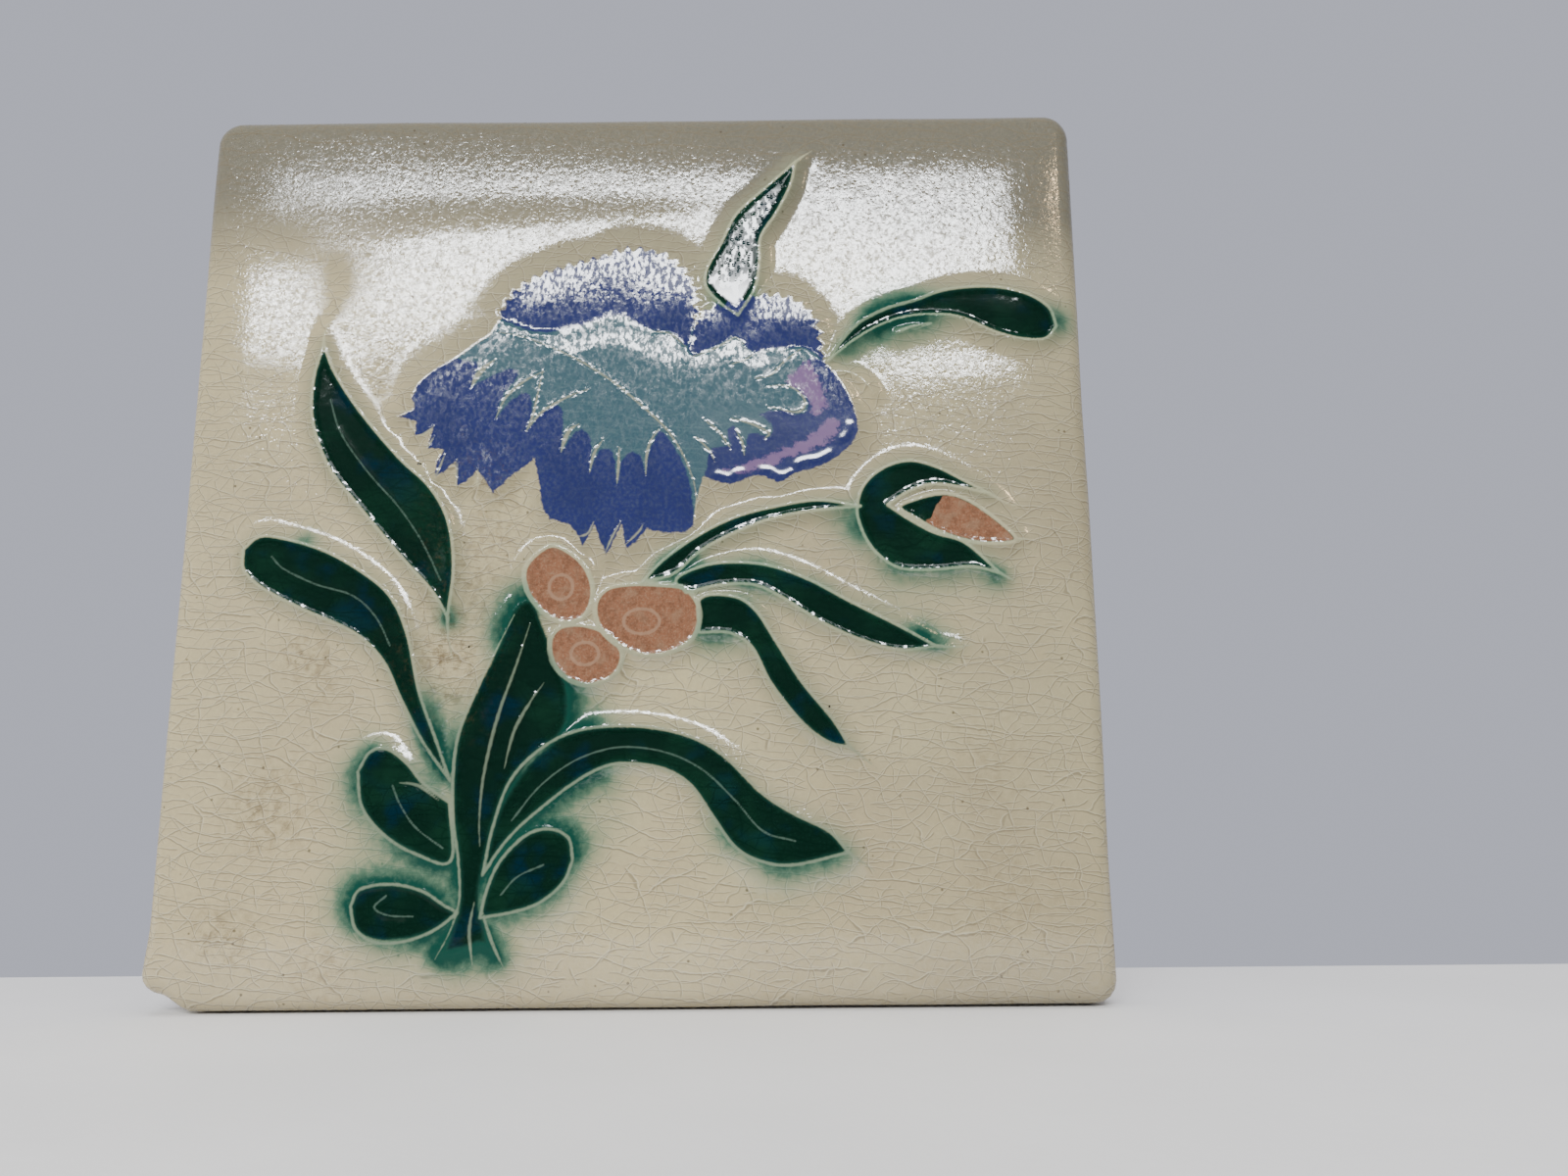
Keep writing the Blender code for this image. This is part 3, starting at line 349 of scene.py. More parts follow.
# Pin holes: centre and radius
PIN_HOLES = [
    (-37.6, 12.1, 0.42), (-28.0, -19.5, 0.24), (-30.2, -26.4, 0.20), (32.0, -29.6, 0.24),
    (26.1, -68.6, 0.26), (14.4, -31.2, 0.18), (63.4, -33.0, 0.18), (-36.4, -30.4, 0.16),
    (-22.4, -4.4, 0.14), (47.0, -42.0, 0.15), (-51.0, -36.6, 0.15), (6.0, -62.0, 0.14),
    (-65.0, 52.6, 0.16), (70.2, 10.0, 0.14), (-12.4, -71.0, 0.16),
]

# Where the slopes outside the spray are wider: centre, reach, share added
WIDE_SLOPES = [(-36.0, 36.0, 12.0, 0.6), (6.0, 46.0, 8.0, 0.2)]
# How unevenly those slopes wander in width, and the size of the wandering
SLOPE_WANDER = 0.14
SLOPE_WANDER_SIZE = 11.0
# The spray is flatter low on the tile: where that begins and ends, the share of height lost, and how much
# wider its slopes are there
LOW_START = -30.0
LOW_END = -46.0
LOW_LOSS = 0.28
LOW_WIDENING = 0.9
# Below this the green of the stalk thins out, by this much per unit
FOOT_START = -64.0
FOOT_FADE = 0.28
# The bud's petal is green left of a leaning border: a place on it, and its lean
BUD_PINK_BORDER = (49.2, 2.8)
BUD_PINK_LEAN = 0.6
# The pressed clay's unevenness: height, size of its lumps, seed
UNEVENNESS = [(0.035, 16.0, 11.0), (0.018, 6.5, 5.0)]
# Gentle swells and hollows of the ground: centre, reach across, reach up, height
SWELLS = [
    (53.0, 31.5, 13.0, 4.2, -0.14),
    (-14.0, 36.0, 20.0, 9.0, 0.15),
]
# Where the upper ground sinks towards the rim: place across, lower and upper end of the slope, and its drop
SHOULDER = [
    (-74.0, 46.0, 60.4, 0.22), (-48.0, 48.5, 60.6, 0.36), (-34.5, 52.0, 60.8, 0.31),
    (-18.0, 54.0, 60.8, 0.25), (-3.5, 55.0, 60.4, 0.17), (12.0, 56.4, 60.0, 0.04),
    (21.0, 56.4, 60.0, 0.0), (74.0, 56.4, 60.0, 0.0),
]
# Areas that sink towards one of their borders: the border, how far the sinking reaches inside the area and
# beyond it, its depth, and the two places across between which it goes on beyond the border
TILTS = {
    "back": (BACK_BORDER[1:], 7.6, 4.4, 0.34, (-16.0, 9.0)),
    "side": (SIDE_BORDER[:-1], 5.0, 2.6, 0.20, (8.0, 28.0)),
    "top_right": (LEAVES["top_right"][0], 7.0, 0.0, 0.34, (0.0, 0.0)),
}
# The power by which the sinking fades away from the border, and how softly it stops across
TILT_POWER = 1.3
SPAN_FADE = 4.0

# Small teeth of the petals: distance between them, depth, the share of that distance at which the tip
# stands, the share of its depth that lies inside the line, and the step along the line
TOOTH_PITCH = 2.1
TOOTH_DEPTH = 1.15
TOOTH_TIP = 0.62
TOOTH_INSIDE = 0.35
TOOTH_STEP = 0.25
# Steps along lines that have finer detail, and along straight runs
FINE_STEP = 0.4
STRAIGHT_STEP = 0.6

# The squashed lower left corner: how far it reaches, how far it's pushed out to the left, how far it's
# pushed up, and the band at the left in which it is pushed up with the width of that band's fading
CORNER_SPAN = 15.0
CORNER_SPREAD = 0.8
CORNER_LIFT = 2.6
LIFT_BAND = 8.0
LIFT_FADE = 5.0
# Waves of the sides: how far they go out on the left and right, how far at the top and bottom, and the size
WAVE_ACROSS = 0.22
WAVE_UP = 0.16
WAVE_SIZE = 26.0
# Places in the noise for opposite sides, this far apart from the middle
WAVE_APART = 40.0


class TileSizes(bpy.types.PropertyGroup):
    """Sizes of the tile's body and relief."""

    thickness: bpy.props.FloatProperty(
        name="Thickness", description="Depth of the tile from its back to the ground of its face",
        default=0.010, unit="LENGTH")
    edge_round: bpy.props.FloatProperty(
        name="Edge round", description="Radius of the rolled edge", default=0.003, unit="LENGTH")
    top_corner: bpy.props.FloatProperty(
        name="Top corners", description="Radius of the two upper corners", default=0.0046, unit="LENGTH")
    bottom_corner: bpy.props.FloatProperty(
        name="Bottom corners", description="Radius of the two lower corners", default=0.0036, unit="LENGTH")
    pillow_drop: bpy.props.FloatProperty(
        name="Pillow drop", description="How far the face falls away at its rim", default=0.0005,
        unit="LENGTH")
    pillow_width: bpy.props.FloatProperty(
        name="Pillow width", description="Width of the band that falls away", default=0.009, unit="LENGTH")
    ridge_height: bpy.props.FloatProperty(
        name="Ridge height", description="Height of the raised lines over the ground",
        default=RELIEF_TOP - 0.010, unit="LENGTH")
    floor_height: bpy.props.FloatProperty(
        name="Floor height", description="Height of the glazed areas between the lines", default=0.00082,
        unit="LENGTH")
    rib_height: bpy.props.FloatProperty(
        name="Rib height", description="Height of the thin midribs", default=0.00088, unit="LENGTH")
    ridge_width: bpy.props.FloatProperty(
        name="Ridge width", description="How far a raised line slopes into a glazed area", default=0.0009,
        unit="LENGTH")
    leaf_slope: bpy.props.FloatProperty(
        name="Leaf slope", description="Width of the slope outside a leaf", default=0.0028, unit="LENGTH")
    flower_slope: bpy.props.FloatProperty(
        name="Flower slope", description="Width of the slope outside the flower", default=0.0042,
        unit="LENGTH")
    back_chamfer: bpy.props.FloatProperty(
        name="Back chamfer", description="Chamfer round the back", default=0.001, unit="LENGTH")


class GlazeColours(bpy.types.PropertyGroup):
    """Colours of the glazes and the clay."""

    cream: bpy.props.FloatVectorProperty(
        name="Cream", description="Ground glaze", subtype="COLOR", default=(0.440, 0.385, 0.222))
    crest: bpy.props.FloatVectorProperty(
        name="Crest", description="Thin glaze on the raised lines", subtype="COLOR",
        default=(0.37, 0.34, 0.215))
    green: bpy.props.FloatVectorProperty(
        name="Green", description="Leaves and stalks", subtype="COLOR", default=(0.0022, 0.0125, 0.0075))
    green_blue: bpy.props.FloatVectorProperty(
        name="Blue in green", description="Blue patches in the green glaze", subtype="COLOR",
        default=(0.0020, 0.013, 0.021))
    blue: bpy.props.FloatVectorProperty(
        name="Blue", description="Petals", subtype="COLOR", default=(0.0185, 0.0235, 0.094))
    teal: bpy.props.FloatVectorProperty(
        name="Teal", description="Inner petals", subtype="COLOR", default=(0.035, 0.073, 0.091))
    pink: bpy.props.FloatVectorProperty(
        name="Pink", description="Berries and bud", subtype="COLOR", default=(0.198, 0.088, 0.049))
    mauve: bpy.props.FloatVectorProperty(
        name="Mauve", description="Brushed patches", subtype="COLOR", default=(0.17, 0.100, 0.20))
    clay: bpy.props.FloatVectorProperty(
        name="Clay", description="Bare fired clay of the back", subtype="COLOR", default=(0.60, 0.48, 0.34))
    floor: bpy.props.FloatVectorProperty(
        name="Floor", description="The stage's floor", subtype="COLOR", default=(0.82, 0.81, 0.81))


def sizes():
    """The sizes that the user can change."""
    return bpy.context.scene.tile_sizes


def colours():
    """The colours that the user can change."""
    return bpy.context.scene.glaze_colours


# Curves of the drawing

def on_face(points):
    """Measured places brought onto the tile's face."""
    points = np.array(points, dtype=float)
    x, z = points[..., 0], points[..., 1]
    across = FACE_X[0] + FACE_X[1] * x + FACE_X[2] * z
    upward = FACE_Z[0] + FACE_Z[1] * x + FACE_Z[2] * z
    return np.stack([across, upward], axis=-1)


def even_steps(points, step):
    """The same line with points at even distances, its two ends kept."""
    points = np.array(points, dtype=float)
    lengths = np.concatenate([[0.0], np.cumsum(np.linalg.norm(np.diff(points, axis=0), axis=1))])
    count = max(2, int(round(lengths[-1] / step)))
    places = np.linspace(0.0, lengths[-1], count + 1)
    return np.stack([np.interp(places, lengths, points[:, axis]) for axis in (0, 1)], axis=1)


def smooth_curve(points, closed=False, step=0.5):
    """A Catmull-Rom curve through the points, in even steps."""
    points = list(on_face(points))
    if closed:
        points = [points[-1]] + points + [points[0], points[1]]
    else:
        points = [2 * points[0] - points[1]] + points + [2 * points[-1] - points[-2]]
    fine = []
    for first, start, end, last in zip(points, points[1:], points[2:], points[3:]):
        for t in np.linspace(0.0, 1.0, 20, endpoint=False):
            bend = (2 * first - 5 * start + 4 * end - last) * t ** 2
            twist = (3 * start - first - 3 * end + last) * t ** 3
            fine.append(0.5 * (2 * start + (end - first) * t + bend + twist))
    fine.append(points[-2])
    return even_steps(fine, step)


def left_normals(points):
    """The direction to the left of the line at each of its points."""
    along = np.gradient(points, axis=0)
    along /= np.linalg.norm(along, axis=1)[:, None] + 1e-12
    return np.stack([-along[:, 1], along[:, 0]], axis=1)


def toothed_curve(points):
    """Small leaning teeth of slightly uneven length along a smooth curve."""
    base = smooth_curve(points, step=TOOTH_STEP)
    lengths = np.arange(len(base)) * TOOTH_STEP
    number = np.floor(lengths / TOOTH_PITCH)
    share = lengths / TOOTH_PITCH - number
    rise = np.where(share < TOOTH_TIP, share / TOOTH_TIP, (1.0 - share) / (1.0 - TOOTH_TIP))
    uneven = 0.75 + 0.5 * np.abs(np.sin(number * 2.399 + 0.7))
    lift = TOOTH_DEPTH * (rise - TOOTH_INSIDE) * uneven
    lift[[0, -1]] = 0.0
    return base + left_normals(base) * lift[:, None]


def straight_curve(points):
    """Straight pieces from point to point, in even steps."""
    points = on_face(points)
    line = [points[0]]
    for start, end in zip(points, points[1:]):
        line.extend(even_steps([start, end], STRAIGHT_STEP)[1:])
    return np.array(line)


def circle(centre_x, centre_y, radius_x, radius_y):
    """A closed ring, wider or narrower than it is high."""
    turns = np.linspace(0.0, 2 * math.pi, 33)
    across = centre_x + radius_x * np.cos(turns)
    upward = centre_y + radius_y * np.sin(turns)
    return on_face(np.stack([across, upward], axis=1))


def joined(runs):
    """One closed outline from runs that follow each other."""
    return np.concatenate([run[:-1] for run in runs] + [runs[-1][-1:]])


RUN_MAKERS = {"toothed": toothed_curve, "smooth": smooth_curve, "straight": straight_curve}


class Drawing:
    """All outlines and raised lines of the spray, in drawing units."""

    def __init__(self):
        self.leaves = [joined([smooth_curve(first), smooth_curve(second)])
                       for first, second, _ in LEAVES.values()]
        self.midribs = [smooth_curve(midrib) for _, _, midrib in LEAVES.values() if midrib]
        self.stalk = smooth_curve(STALK, closed=True)
        self.stalk_lines = [smooth_curve(points) for points in STALK_LINES]
        self.berries = [smooth_curve(points, closed=True) for points, _ in BERRIES]
        self.rings = [circle(*ring) for _, ring in BERRIES]
        self.calyx = joined([smooth_curve(CALYX_OUTER)] + [smooth_curve(side) for side in CALYX_INNER])
        self.bud_petal = smooth_curve(BUD_PETAL, closed=True)
        runs = [RUN_MAKERS[kind](points) for kind, points in FLOWER_EDGE]
        self.flower = joined(runs)
        back, side, right, _, front_lower, front_left, left_top = runs
        lobes = joined([smooth_curve(points, step=FINE_STEP) for points in FRONT_LOBES])
        self.front = np.concatenate([lobes, front_lower[1:], front_left[1:], left_top[1:]])
        self.front = self.front[:len(lobes) + len(front_lower) + len(front_left) + len(left_top) // 2]
        right_lobes = joined([smooth_curve(points, step=FINE_STEP) for points in RIGHT_LOBES])
        self.right = np.concatenate([right[:-1], right_lobes])
        self.back = np.concatenate([back[:-1], smooth_curve(BACK_BORDER)])
        self.side = np.concatenate([side[:-1], smooth_curve(SIDE_BORDER)])
        self.flower_lines = [(smooth_curve(points, step=FINE_STEP), width, widest)
                             for points, width, widest in FLOWER_LINES]
        self.notches = [smooth_curve(points, step=FINE_STEP) for points in TOOTH_NOTCHES]
        self.rolls = [smooth_curve(points, step=FINE_STEP) for points in GLAZE_ROLLS]
        self.wedges = [smooth_curve(points, step=FINE_STEP) for points in WEDGES]
        self.mauve = [smooth_curve(points, closed=True) for points in MAUVE_PATCHES]

    def leaf(self, name):
        return self.leaves[list(LEAVES).index(name)]

    def raised(self):
        return self.leaves + [self.stalk, self.calyx, self.bud_petal, self.flower] + self.berries


class Lines:
    """Pieces of line, each with the crest's height, the slope's width and the cream's half width."""

    def __init__(self):
        self.parts = []

    def add(self, points, crest, slope, half_width, widest=None, fade=False):
        """Adds a line; one with a widest place thins to points at both ends, one that fades sinks as well."""
        points = np.array(points)
        share = np.linspace(0.0, 1.0, len(points))
        heights = crest * (1.0 - share) if fade else np.full(len(points), crest)
        widths = half_width * (1.0 - share) if fade else np.full(len(points), half_width)
        if widest:
            rise = np.where(share < widest, share / widest, (1.0 - share) / (1.0 - widest))
            widths = half_width * (0.12 + 0.88 * np.sin(math.pi / 2 * rise))
            heights = crest * (0.75 + 0.25 * np.clip(rise * 3.0, 0.0, 1.0))
        self.parts.append((points, heights, np.full(len(points), slope), widths))

    def finish(self):
        self.starts = np.concatenate([points[:-1] for points, *_ in self.parts])
        self.ends = np.concatenate([points[1:] for points, *_ in self.parts])
        self.values = []
        for index in (1, 2, 3):
            starts = np.concatenate([part[index][:-1] for part in self.parts])
            ends = np.concatenate([part[index][1:] for part in self.parts])
            self.values.append((starts, ends))
        return self


def patches(points, starts, ends, reach=REACH):
    """Cuts the field into patches and yields the points of each with the pieces of line within reach."""
    cells = np.floor(points / PATCH).astype(int)
    order = np.lexsort((cells[:, 1], cells[:, 0]))
    sorted_cells = cells[order]
    breaks = np.flatnonzero(np.any(np.diff(sorted_cells, axis=0) != 0, axis=1)) + 1
    low = np.minimum(starts, ends)
    high = np.maximum(starts, ends)
    for group in np.split(order, breaks):
        corner = cells[group[0]] * PATCH
        near = np.all((high > corner - reach) & (low < corner + PATCH + reach), axis=1)
        if near.any():
            yield group, np.flatnonzero(near)


def to_pieces(points, starts, ends):
    """Distance from each point to each piece, the share along it, and the nearest place on it."""
    along = ends - starts
    length2 = np.maximum((along ** 2).sum(axis=1), 1e-12)
    away = points[:, None, :] - starts[None]
    share = np.clip((away * along[None]).sum(axis=2) / length2, 0.0, 1.0)
    gap = away - share[:, :, None] * along[None]
    return np.sqrt((gap ** 2).sum(axis=2)), share, gap


def inside_any(outlines, points):
    """Which points lie inside one of the closed outlines, by counting crossings."""
    result = np.zeros(len(points), dtype=bool)
    for outline in outlines:
        low, high = outline.min(axis=0), outline.max(axis=0)
        near = np.flatnonzero(np.all((points > low) & (points < high), axis=1))
        if not len(near):
            continue
        x, y = points[near].T
        crossed = np.zeros(len(near), dtype=bool)
        for (x0, y0), (x1, y1) in zip(outline, np.roll(outline, -1, axis=0)):
            if y0 != y1:
                crossed ^= ((y0 > y) != (y1 > y)) & (x < x0 + (y - y0) * (x1 - x0) / (y1 - y0))
        result[near[crossed]] = True
    return result


def distance_to(lines, points, reach=REACH):
    """Distance to the nearest line, no further than the reach."""
    starts = np.concatenate([line[:-1] for line in lines])
    ends = np.concatenate([line[1:] for line in lines])
    result = np.full(len(points), reach)
    for group, near in patches(points, starts, ends, reach):
        distance, _, _ = to_pieces(points[group], starts[near], ends[near])
        result[group] = np.minimum(result[group], distance.min(axis=1))
    return result


def signed_distance(outlines, points):
    """Distance to the outlines' edge, positive inside them."""
    closed = [np.concatenate([outline, outline[:1]]) for outline in outlines]
    distance = distance_to(closed, points)
    return np.where(inside_any(outlines, points), distance, -distance)


def noise_at(points, size, seed):
    """Smooth noise between about -1 and 1, with lumps of the given size."""
    return np.array([noise.noise(Vector((x / size, y / size, seed))) for x, y in points])


class Relief:
    """Height of the face over its ground, and the fields that the glazes are painted by."""

    def __init__(self, drawing):
        self.drawing = drawing
        values = sizes()
        self.crest = values.ridge_height / UNIT
        self.floor = values.floor_height / UNIT
        self.rib = values.rib_height / UNIT
        self.ridge_width = values.ridge_width / UNIT
        leaf = values.leaf_slope / UNIT
        petal = values.flower_slope / UNIT
        lines = Lines()
        for outline in drawing.leaves + [drawing.calyx]:
            lines.add(closed_line(outline), self.crest, leaf, OUTLINE_CREAM)
        lines.add(closed_line(drawing.stalk), self.floor, leaf, 0.0)
        for outline in drawing.berries:
            lines.add(closed_line(outline), self.crest, leaf, BERRY_CREAM)
        lines.add(closed_line(drawing.bud_petal), self.crest, leaf, BUD_CREAM)
        lines.add(closed_line(drawing.flower), self.floor + PETAL_LINE_RISE, petal, 0.0)
        for line in drawing.stalk_lines:
            lines.add(line, self.crest, leaf, STALK_CREAM, widest=0.5)
        for line, half_width, widest in drawing.flower_lines:
            lines.add(line, self.floor + PETAL_LINE_RISE, leaf * 0.8, half_width * PETAL_LINE_CREAM,
                      widest=widest)
        for line in drawing.notches:
            lines.add(line, self.floor + PETAL_LINE_RISE, leaf, NOTCH_CREAM, widest=0.5)
        for line in drawing.rolls:
            lines.add(line, self.floor + ROLL_RISE, leaf, 0.0, widest=0.5)
        for line in drawing.wedges:
            lines.add(line, self.crest, leaf, WEDGE_CREAM, fade=True)
        for ring in drawing.rings:
            lines.add(ring, self.rib, leaf * 0.5, 0.0)
        for line in drawing.midribs:
            lines.add(line, self.rib, leaf * 0.5, 0.0, widest=0.5)
        self.lines = lines.finish()

    def evaluate(self, points):
        """Height of the spray over the ground, and how deep inside the cream lines each point is."""
        drawing = self.drawing
        within = inside_any(drawing.raised(), points)
        outer = np.zeros(len(points))
        inner = np.zeros(len(points))
        cream = np.full(len(points), -REACH)
        low = eased((LOW_START - points[:, 1]) / (LOW_START - LOW_END))
        wander = 1.0 + SLOPE_WANDER * noise_at(points, SLOPE_WANDER_SIZE, 3.0)
        wander = wander + LOW_WIDENING * low + blobs(points, WIDE_SLOPES)
        (crest0, crest1), (slope0, slope1), (width0, width1) = self.lines.values
        for group, near in patches(points, self.lines.starts, self.lines.ends):
            distance, share, _ = to_pieces(points[group], self.lines.starts[near], self.lines.ends[near])
            crest = crest0[near] + share * (crest1[near] - crest0[near])
            width = width0[near] + share * (width1[near] - width0[near])
            slope = slope0[near] * wander[group][:, None]
            soft = np.sqrt(distance ** 2 + CREST_ROUNDING ** 2) - CREST_ROUNDING
            outer[group] = (crest * np.clip(1.0 - soft / slope, 0.0, 1.0) ** OUTER_POWER).max(axis=1)
            ridge = np.clip(1.0 - soft / self.ridge_width, 0.0, 1.0) ** INNER_POWER
            inner[group] = (np.maximum(crest - self.floor, 0.0) * ridge).max(axis=1)
            cream[group] = np.where(width > 0.0, width - distance, -REACH).max(axis=1)
        edge = distance_to([closed_line(outline) for outline in drawing.raised()], points)
        floor = self.floor + DOME_HEIGHT * np.clip(edge / DOME_REACH, 0.0, 1.0) ** DOME_POWER
        in_front = inside_any([drawing.front, drawing.right], points)
        beyond = inside_any([drawing.flower], points) & ~in_front
        areas = {"back": drawing.back, "side": drawing.side, "top_right": drawing.leaf("top_right")}
        for name, outline in areas.items():
            border, reach_in, reach_out, drop, span = TILTS[name]
            tilted = inside_any([outline], points)
            reach = np.where(tilted, reach_in, reach_out)
            chosen = np.flatnonzero(tilted | (beyond & (reach_out > 0.0)))
            away = distance_to([smooth_curve(border)], points[chosen], reach_in + 1.0)
            across = points[chosen, 0]
            spanned = eased((across - span[0]) / SPAN_FADE) * eased((span[1] - across) / SPAN_FADE)
            depth = drop * np.where(tilted[chosen], 1.0, spanned)
            floor[chosen] -= depth * np.clip(1.0 - away / reach[chosen], 0.0, 1.0) ** TILT_POWER
        height = np.where(within, floor + inner, outer) * (1.0 - LOW_LOSS * low)
        return height, cream, edge, within


def closed_line(outline):
    """The outline with its first point again at its end."""
    return np.concatenate([outline, outline[:1]])


def blobs(points, spots, power=2.0):
    """Soft round spots: centre, reach, strength."""
    total = np.zeros(len(points))
    for x, y, reach, strength in spots:
        distance = np.linalg.norm(points - on_face((x, y)), axis=1)
        total += strength * np.exp(-(distance / reach) ** power)
    return np.minimum(total, 1.0)


def swell(points):
    """Broad shallow unevenness of the pressed clay and of the petals."""
    total = sum(height * noise_at(points, size, seed) for height, size, seed in UNEVENNESS)
    for x, y, reach_x, reach_y, height in SWELLS:
        total += height * np.exp(-((points[:, 0] - x) / reach_x) ** 2 - ((points[:, 1] - y) / reach_y) ** 2)
    across, low, high, drop = np.array(SHOULDER).T
    start, end, depth = (np.interp(points[:, 0], across, values) for values in (low, high, drop))
    return total - depth * eased((points[:, 1] - start) / (end - start))


def pillow(points, half):
    """1 over the field, falling to 0 at the rim of the face."""
    values = sizes()
    falls = [np.clip(1.0 - (half - np.abs(points[:, axis])) / (values.pillow_width / UNIT), 0.0, 1.0) ** 2
             for axis in (0, 1)]
    return (1.0 - falls[0]) * (1.0 - falls[1])


# Modelling by operators

def deselect_all():
    """Leaves edit mode and clears the selection."""
    if bpy.context.mode != "OBJECT":
        bpy.ops.object.mode_set(mode="OBJECT")
    bpy.ops.object.select_all(action="DESELECT")


def coordinates(piece):
    """The piece's points, one row each."""
    flat = np.zeros(len(piece.data.vertices) * 3)
    piece.data.vertices.foreach_get("co", flat)
    return flat.reshape(-1, 3)


def set_coordinates(piece, places):
    piece.data.vertices.foreach_set("co", np.asarray(places, dtype=np.float32).ravel())
    piece.data.update()


def face_centres(piece):
    flat = np.zeros(len(piece.data.polygons) * 3)
    piece.data.polygons.foreach_get("center", flat)
    return flat.reshape(-1, 3)


def edit_faces(piece, chosen):
    """Enters edit mode with the chosen faces selected."""
    bpy.context.view_layer.objects.active = piece
    bpy.ops.object.mode_set(mode="EDIT")
    bpy.ops.mesh.select_mode(type="FACE")
    bpy.ops.mesh.select_all(action="DESELECT")
    mesh = bmesh.from_edit_mesh(piece.data)
    mesh.faces.ensure_lookup_table()
    for index in np.flatnonzero(chosen):
        mesh.faces[index].select_set(True)
    bmesh.update_edit_mesh(piece.data)


def leave_edit():
    bpy.ops.object.mode_set(mode="OBJECT")


def corner_radius(z):
    """Radius of the tile's corners at that height, in drawing units."""
    return (sizes().top_corner if z > 0.0 else sizes().bottom_corner) / UNIT


def round_rim(points, half):
    """Pulls the corners of a square sheet into arcs, the sheet's own points with them."""
    points = np.array(points)
    result = points.copy()
    edge = sizes().edge_round / UNIT
    for sign_x in (-1, 1):
        for sign_z in (-1, 1):
            radius = corner_radius(sign_z) - edge
            centre = half - radius
            across = (points[:, 0] * sign_x - centre) / radius
            upward = (points[:, 1] * sign_z - centre) / radius
            zone = (across > 0.0) & (upward > 0.0)
            a, u = across[zone], upward[zone]
            far = np.maximum(a, u)
            turn = np.where(a >= u, math.pi / 4 * u / far, math.pi / 2 - math.pi / 4 * a / far)
            result[zone, 0] = sign_x * (centre + radius * far * np.cos(turn))
            result[zone, 1] = sign_z * (centre + radius * far * np.sin(turn))
    return result


def onto_outline(points, inset):
    """Moves points of one outline of the tile to the outline at another inset."""
    half = DRAWING_SIDE / 2
    result = np.array(points)
    for index, (x, z) in enumerate(points):
        radius = corner_radius(z)
        centre = half - radius
        if abs(x) > centre and abs(z) > centre:
            middle = np.array([math.copysign(centre, x), math.copysign(centre, z)])
            away = np.array([x, z]) - middle
            result[index] = middle + away / np.linalg.norm(away) * (radius - inset)
        elif abs(x) > abs(z):
            result[index, 0] = math.copysign(half - inset, x)
        else:
            result[index, 1] = math.copysign(half - inset, z)
    return result


def eased(share):
    """The share from 0 to 1, eased at both ends."""
    share = np.clip(share, 0.0, 1.0)
    return share * share * (3.0 - 2.0 * share)


def uneven_outline(points):
    """The hand-pressed unevenness of the sides, and the squashed lower left corner."""
    half = DRAWING_SIDE / 2
    result = np.array(points)
    from_left = points[:, 0] + half
    from_bottom = points[:, 1] + half
    side_x = eased(np.abs(points[:, 0]) / half * 4.0 - 3.0) * np.sign(points[:, 0])
    side_z = eased(np.abs(points[:, 1]) / half * 4.0 - 3.0) * np.sign(points[:, 1])
    apart_x, apart_z = (WAVE_APART * np.sign(points[:, axis]) for axis in (0, 1))
    waves_x = noise_at(np.stack([points[:, 1], apart_x], axis=1), WAVE_SIZE, 2.0)
    waves_z = noise_at(np.stack([points[:, 0], apart_z], axis=1), WAVE_SIZE, 7.0)
    result[:, 0] += WAVE_ACROSS * waves_x * side_x
    result[:, 1] += WAVE_UP * waves_z * side_z
    low = eased(1.0 - from_bottom / CORNER_SPAN)
    result[:, 0] -= CORNER_SPREAD * (low * eased(1.0 - from_left / CORNER_SPAN))
    result[:, 1] += CORNER_LIFT * eased((LIFT_BAND - from_left) / LIFT_FADE) * low
    return result


# Shaders. Sizes are in millimetres.

# Families of long cracks: direction across them, spacing, size and amount of their wandering, seed, strength,
# and the share of the noise above which they show
CRACK_FAMILIES = [
    ((0.14, 0.99), 2.9, 13.0, 2.2, 3.0, 0.85, 0.33),
    ((-0.34, 0.94), 3.8, 11.0, 2.0, 21.0, 0.8, 0.38),
    ((0.90, 0.42), 3.2, 7.0, 1.8, 39.0, 0.7, 0.43),
    ((-0.78, 0.62), 2.4, 5.0, 1.6, 57.0, 0.60, 0.45),
    ((0.10, 0.99), 1.4, 4.0, 1.3, 75.0, 0.60, 0.44),
]
# Distance from a crack's middle of its pale core, a painted highlight on one lip, and of its dark rim, the
# crack with painted shadow on the other, and the half widths of the two
CRACK_LIP = 0.07
CRACK_CORE = 0.10
CRACK_RIM = 0.18
# Small jitter of the cracks, its size, and the size of the noise that breaks them off
CRACK_JITTER = 0.5
CRACK_JITTER_SIZE = 1.6
CRACK_BREAKS = 5.5

GLAZE_IOR = 1.65
GLAZE_ROUGHNESS = 0.06
MATT_ROUGHNESS = 0.9
# Heights of the glaze's unevenness: its peel, its dimples and their size, the beads on the lines, the fine
# creases, the grain of the pink areas and the pin holes
PEEL_HEIGHT = 0.022
DIMPLE_DEPTH = 0.022
DIMPLE_SIZE = 0.85
BEAD_HEIGHT = 0.15
CREASE_DEPTH = 0.004
BERRY_GRAIN = 0.04
PIN_DEPTH = 0.12

# The tile's attributes that the glazes are laid by
COLOUR_FIELDS = ("green", "blue", "teal", "pink", "mauve")
SURFACE_FIELDS = ("cream", "rib", "bleed", "stain", "slope", "pins", "matt")

# Painted shade on the ground, partly its glaze's own browner tone, darker towards the top, the right and the
# foot: axis, where that begins and is full, share
PAINTED_SHADES = [(2, 40.0, 64.0, 0.92), (0, 5.0, 76.0, 0.29), (2, -20.0, 50.0, 0.06), (2, -66.0, -77.0, 0.21)]

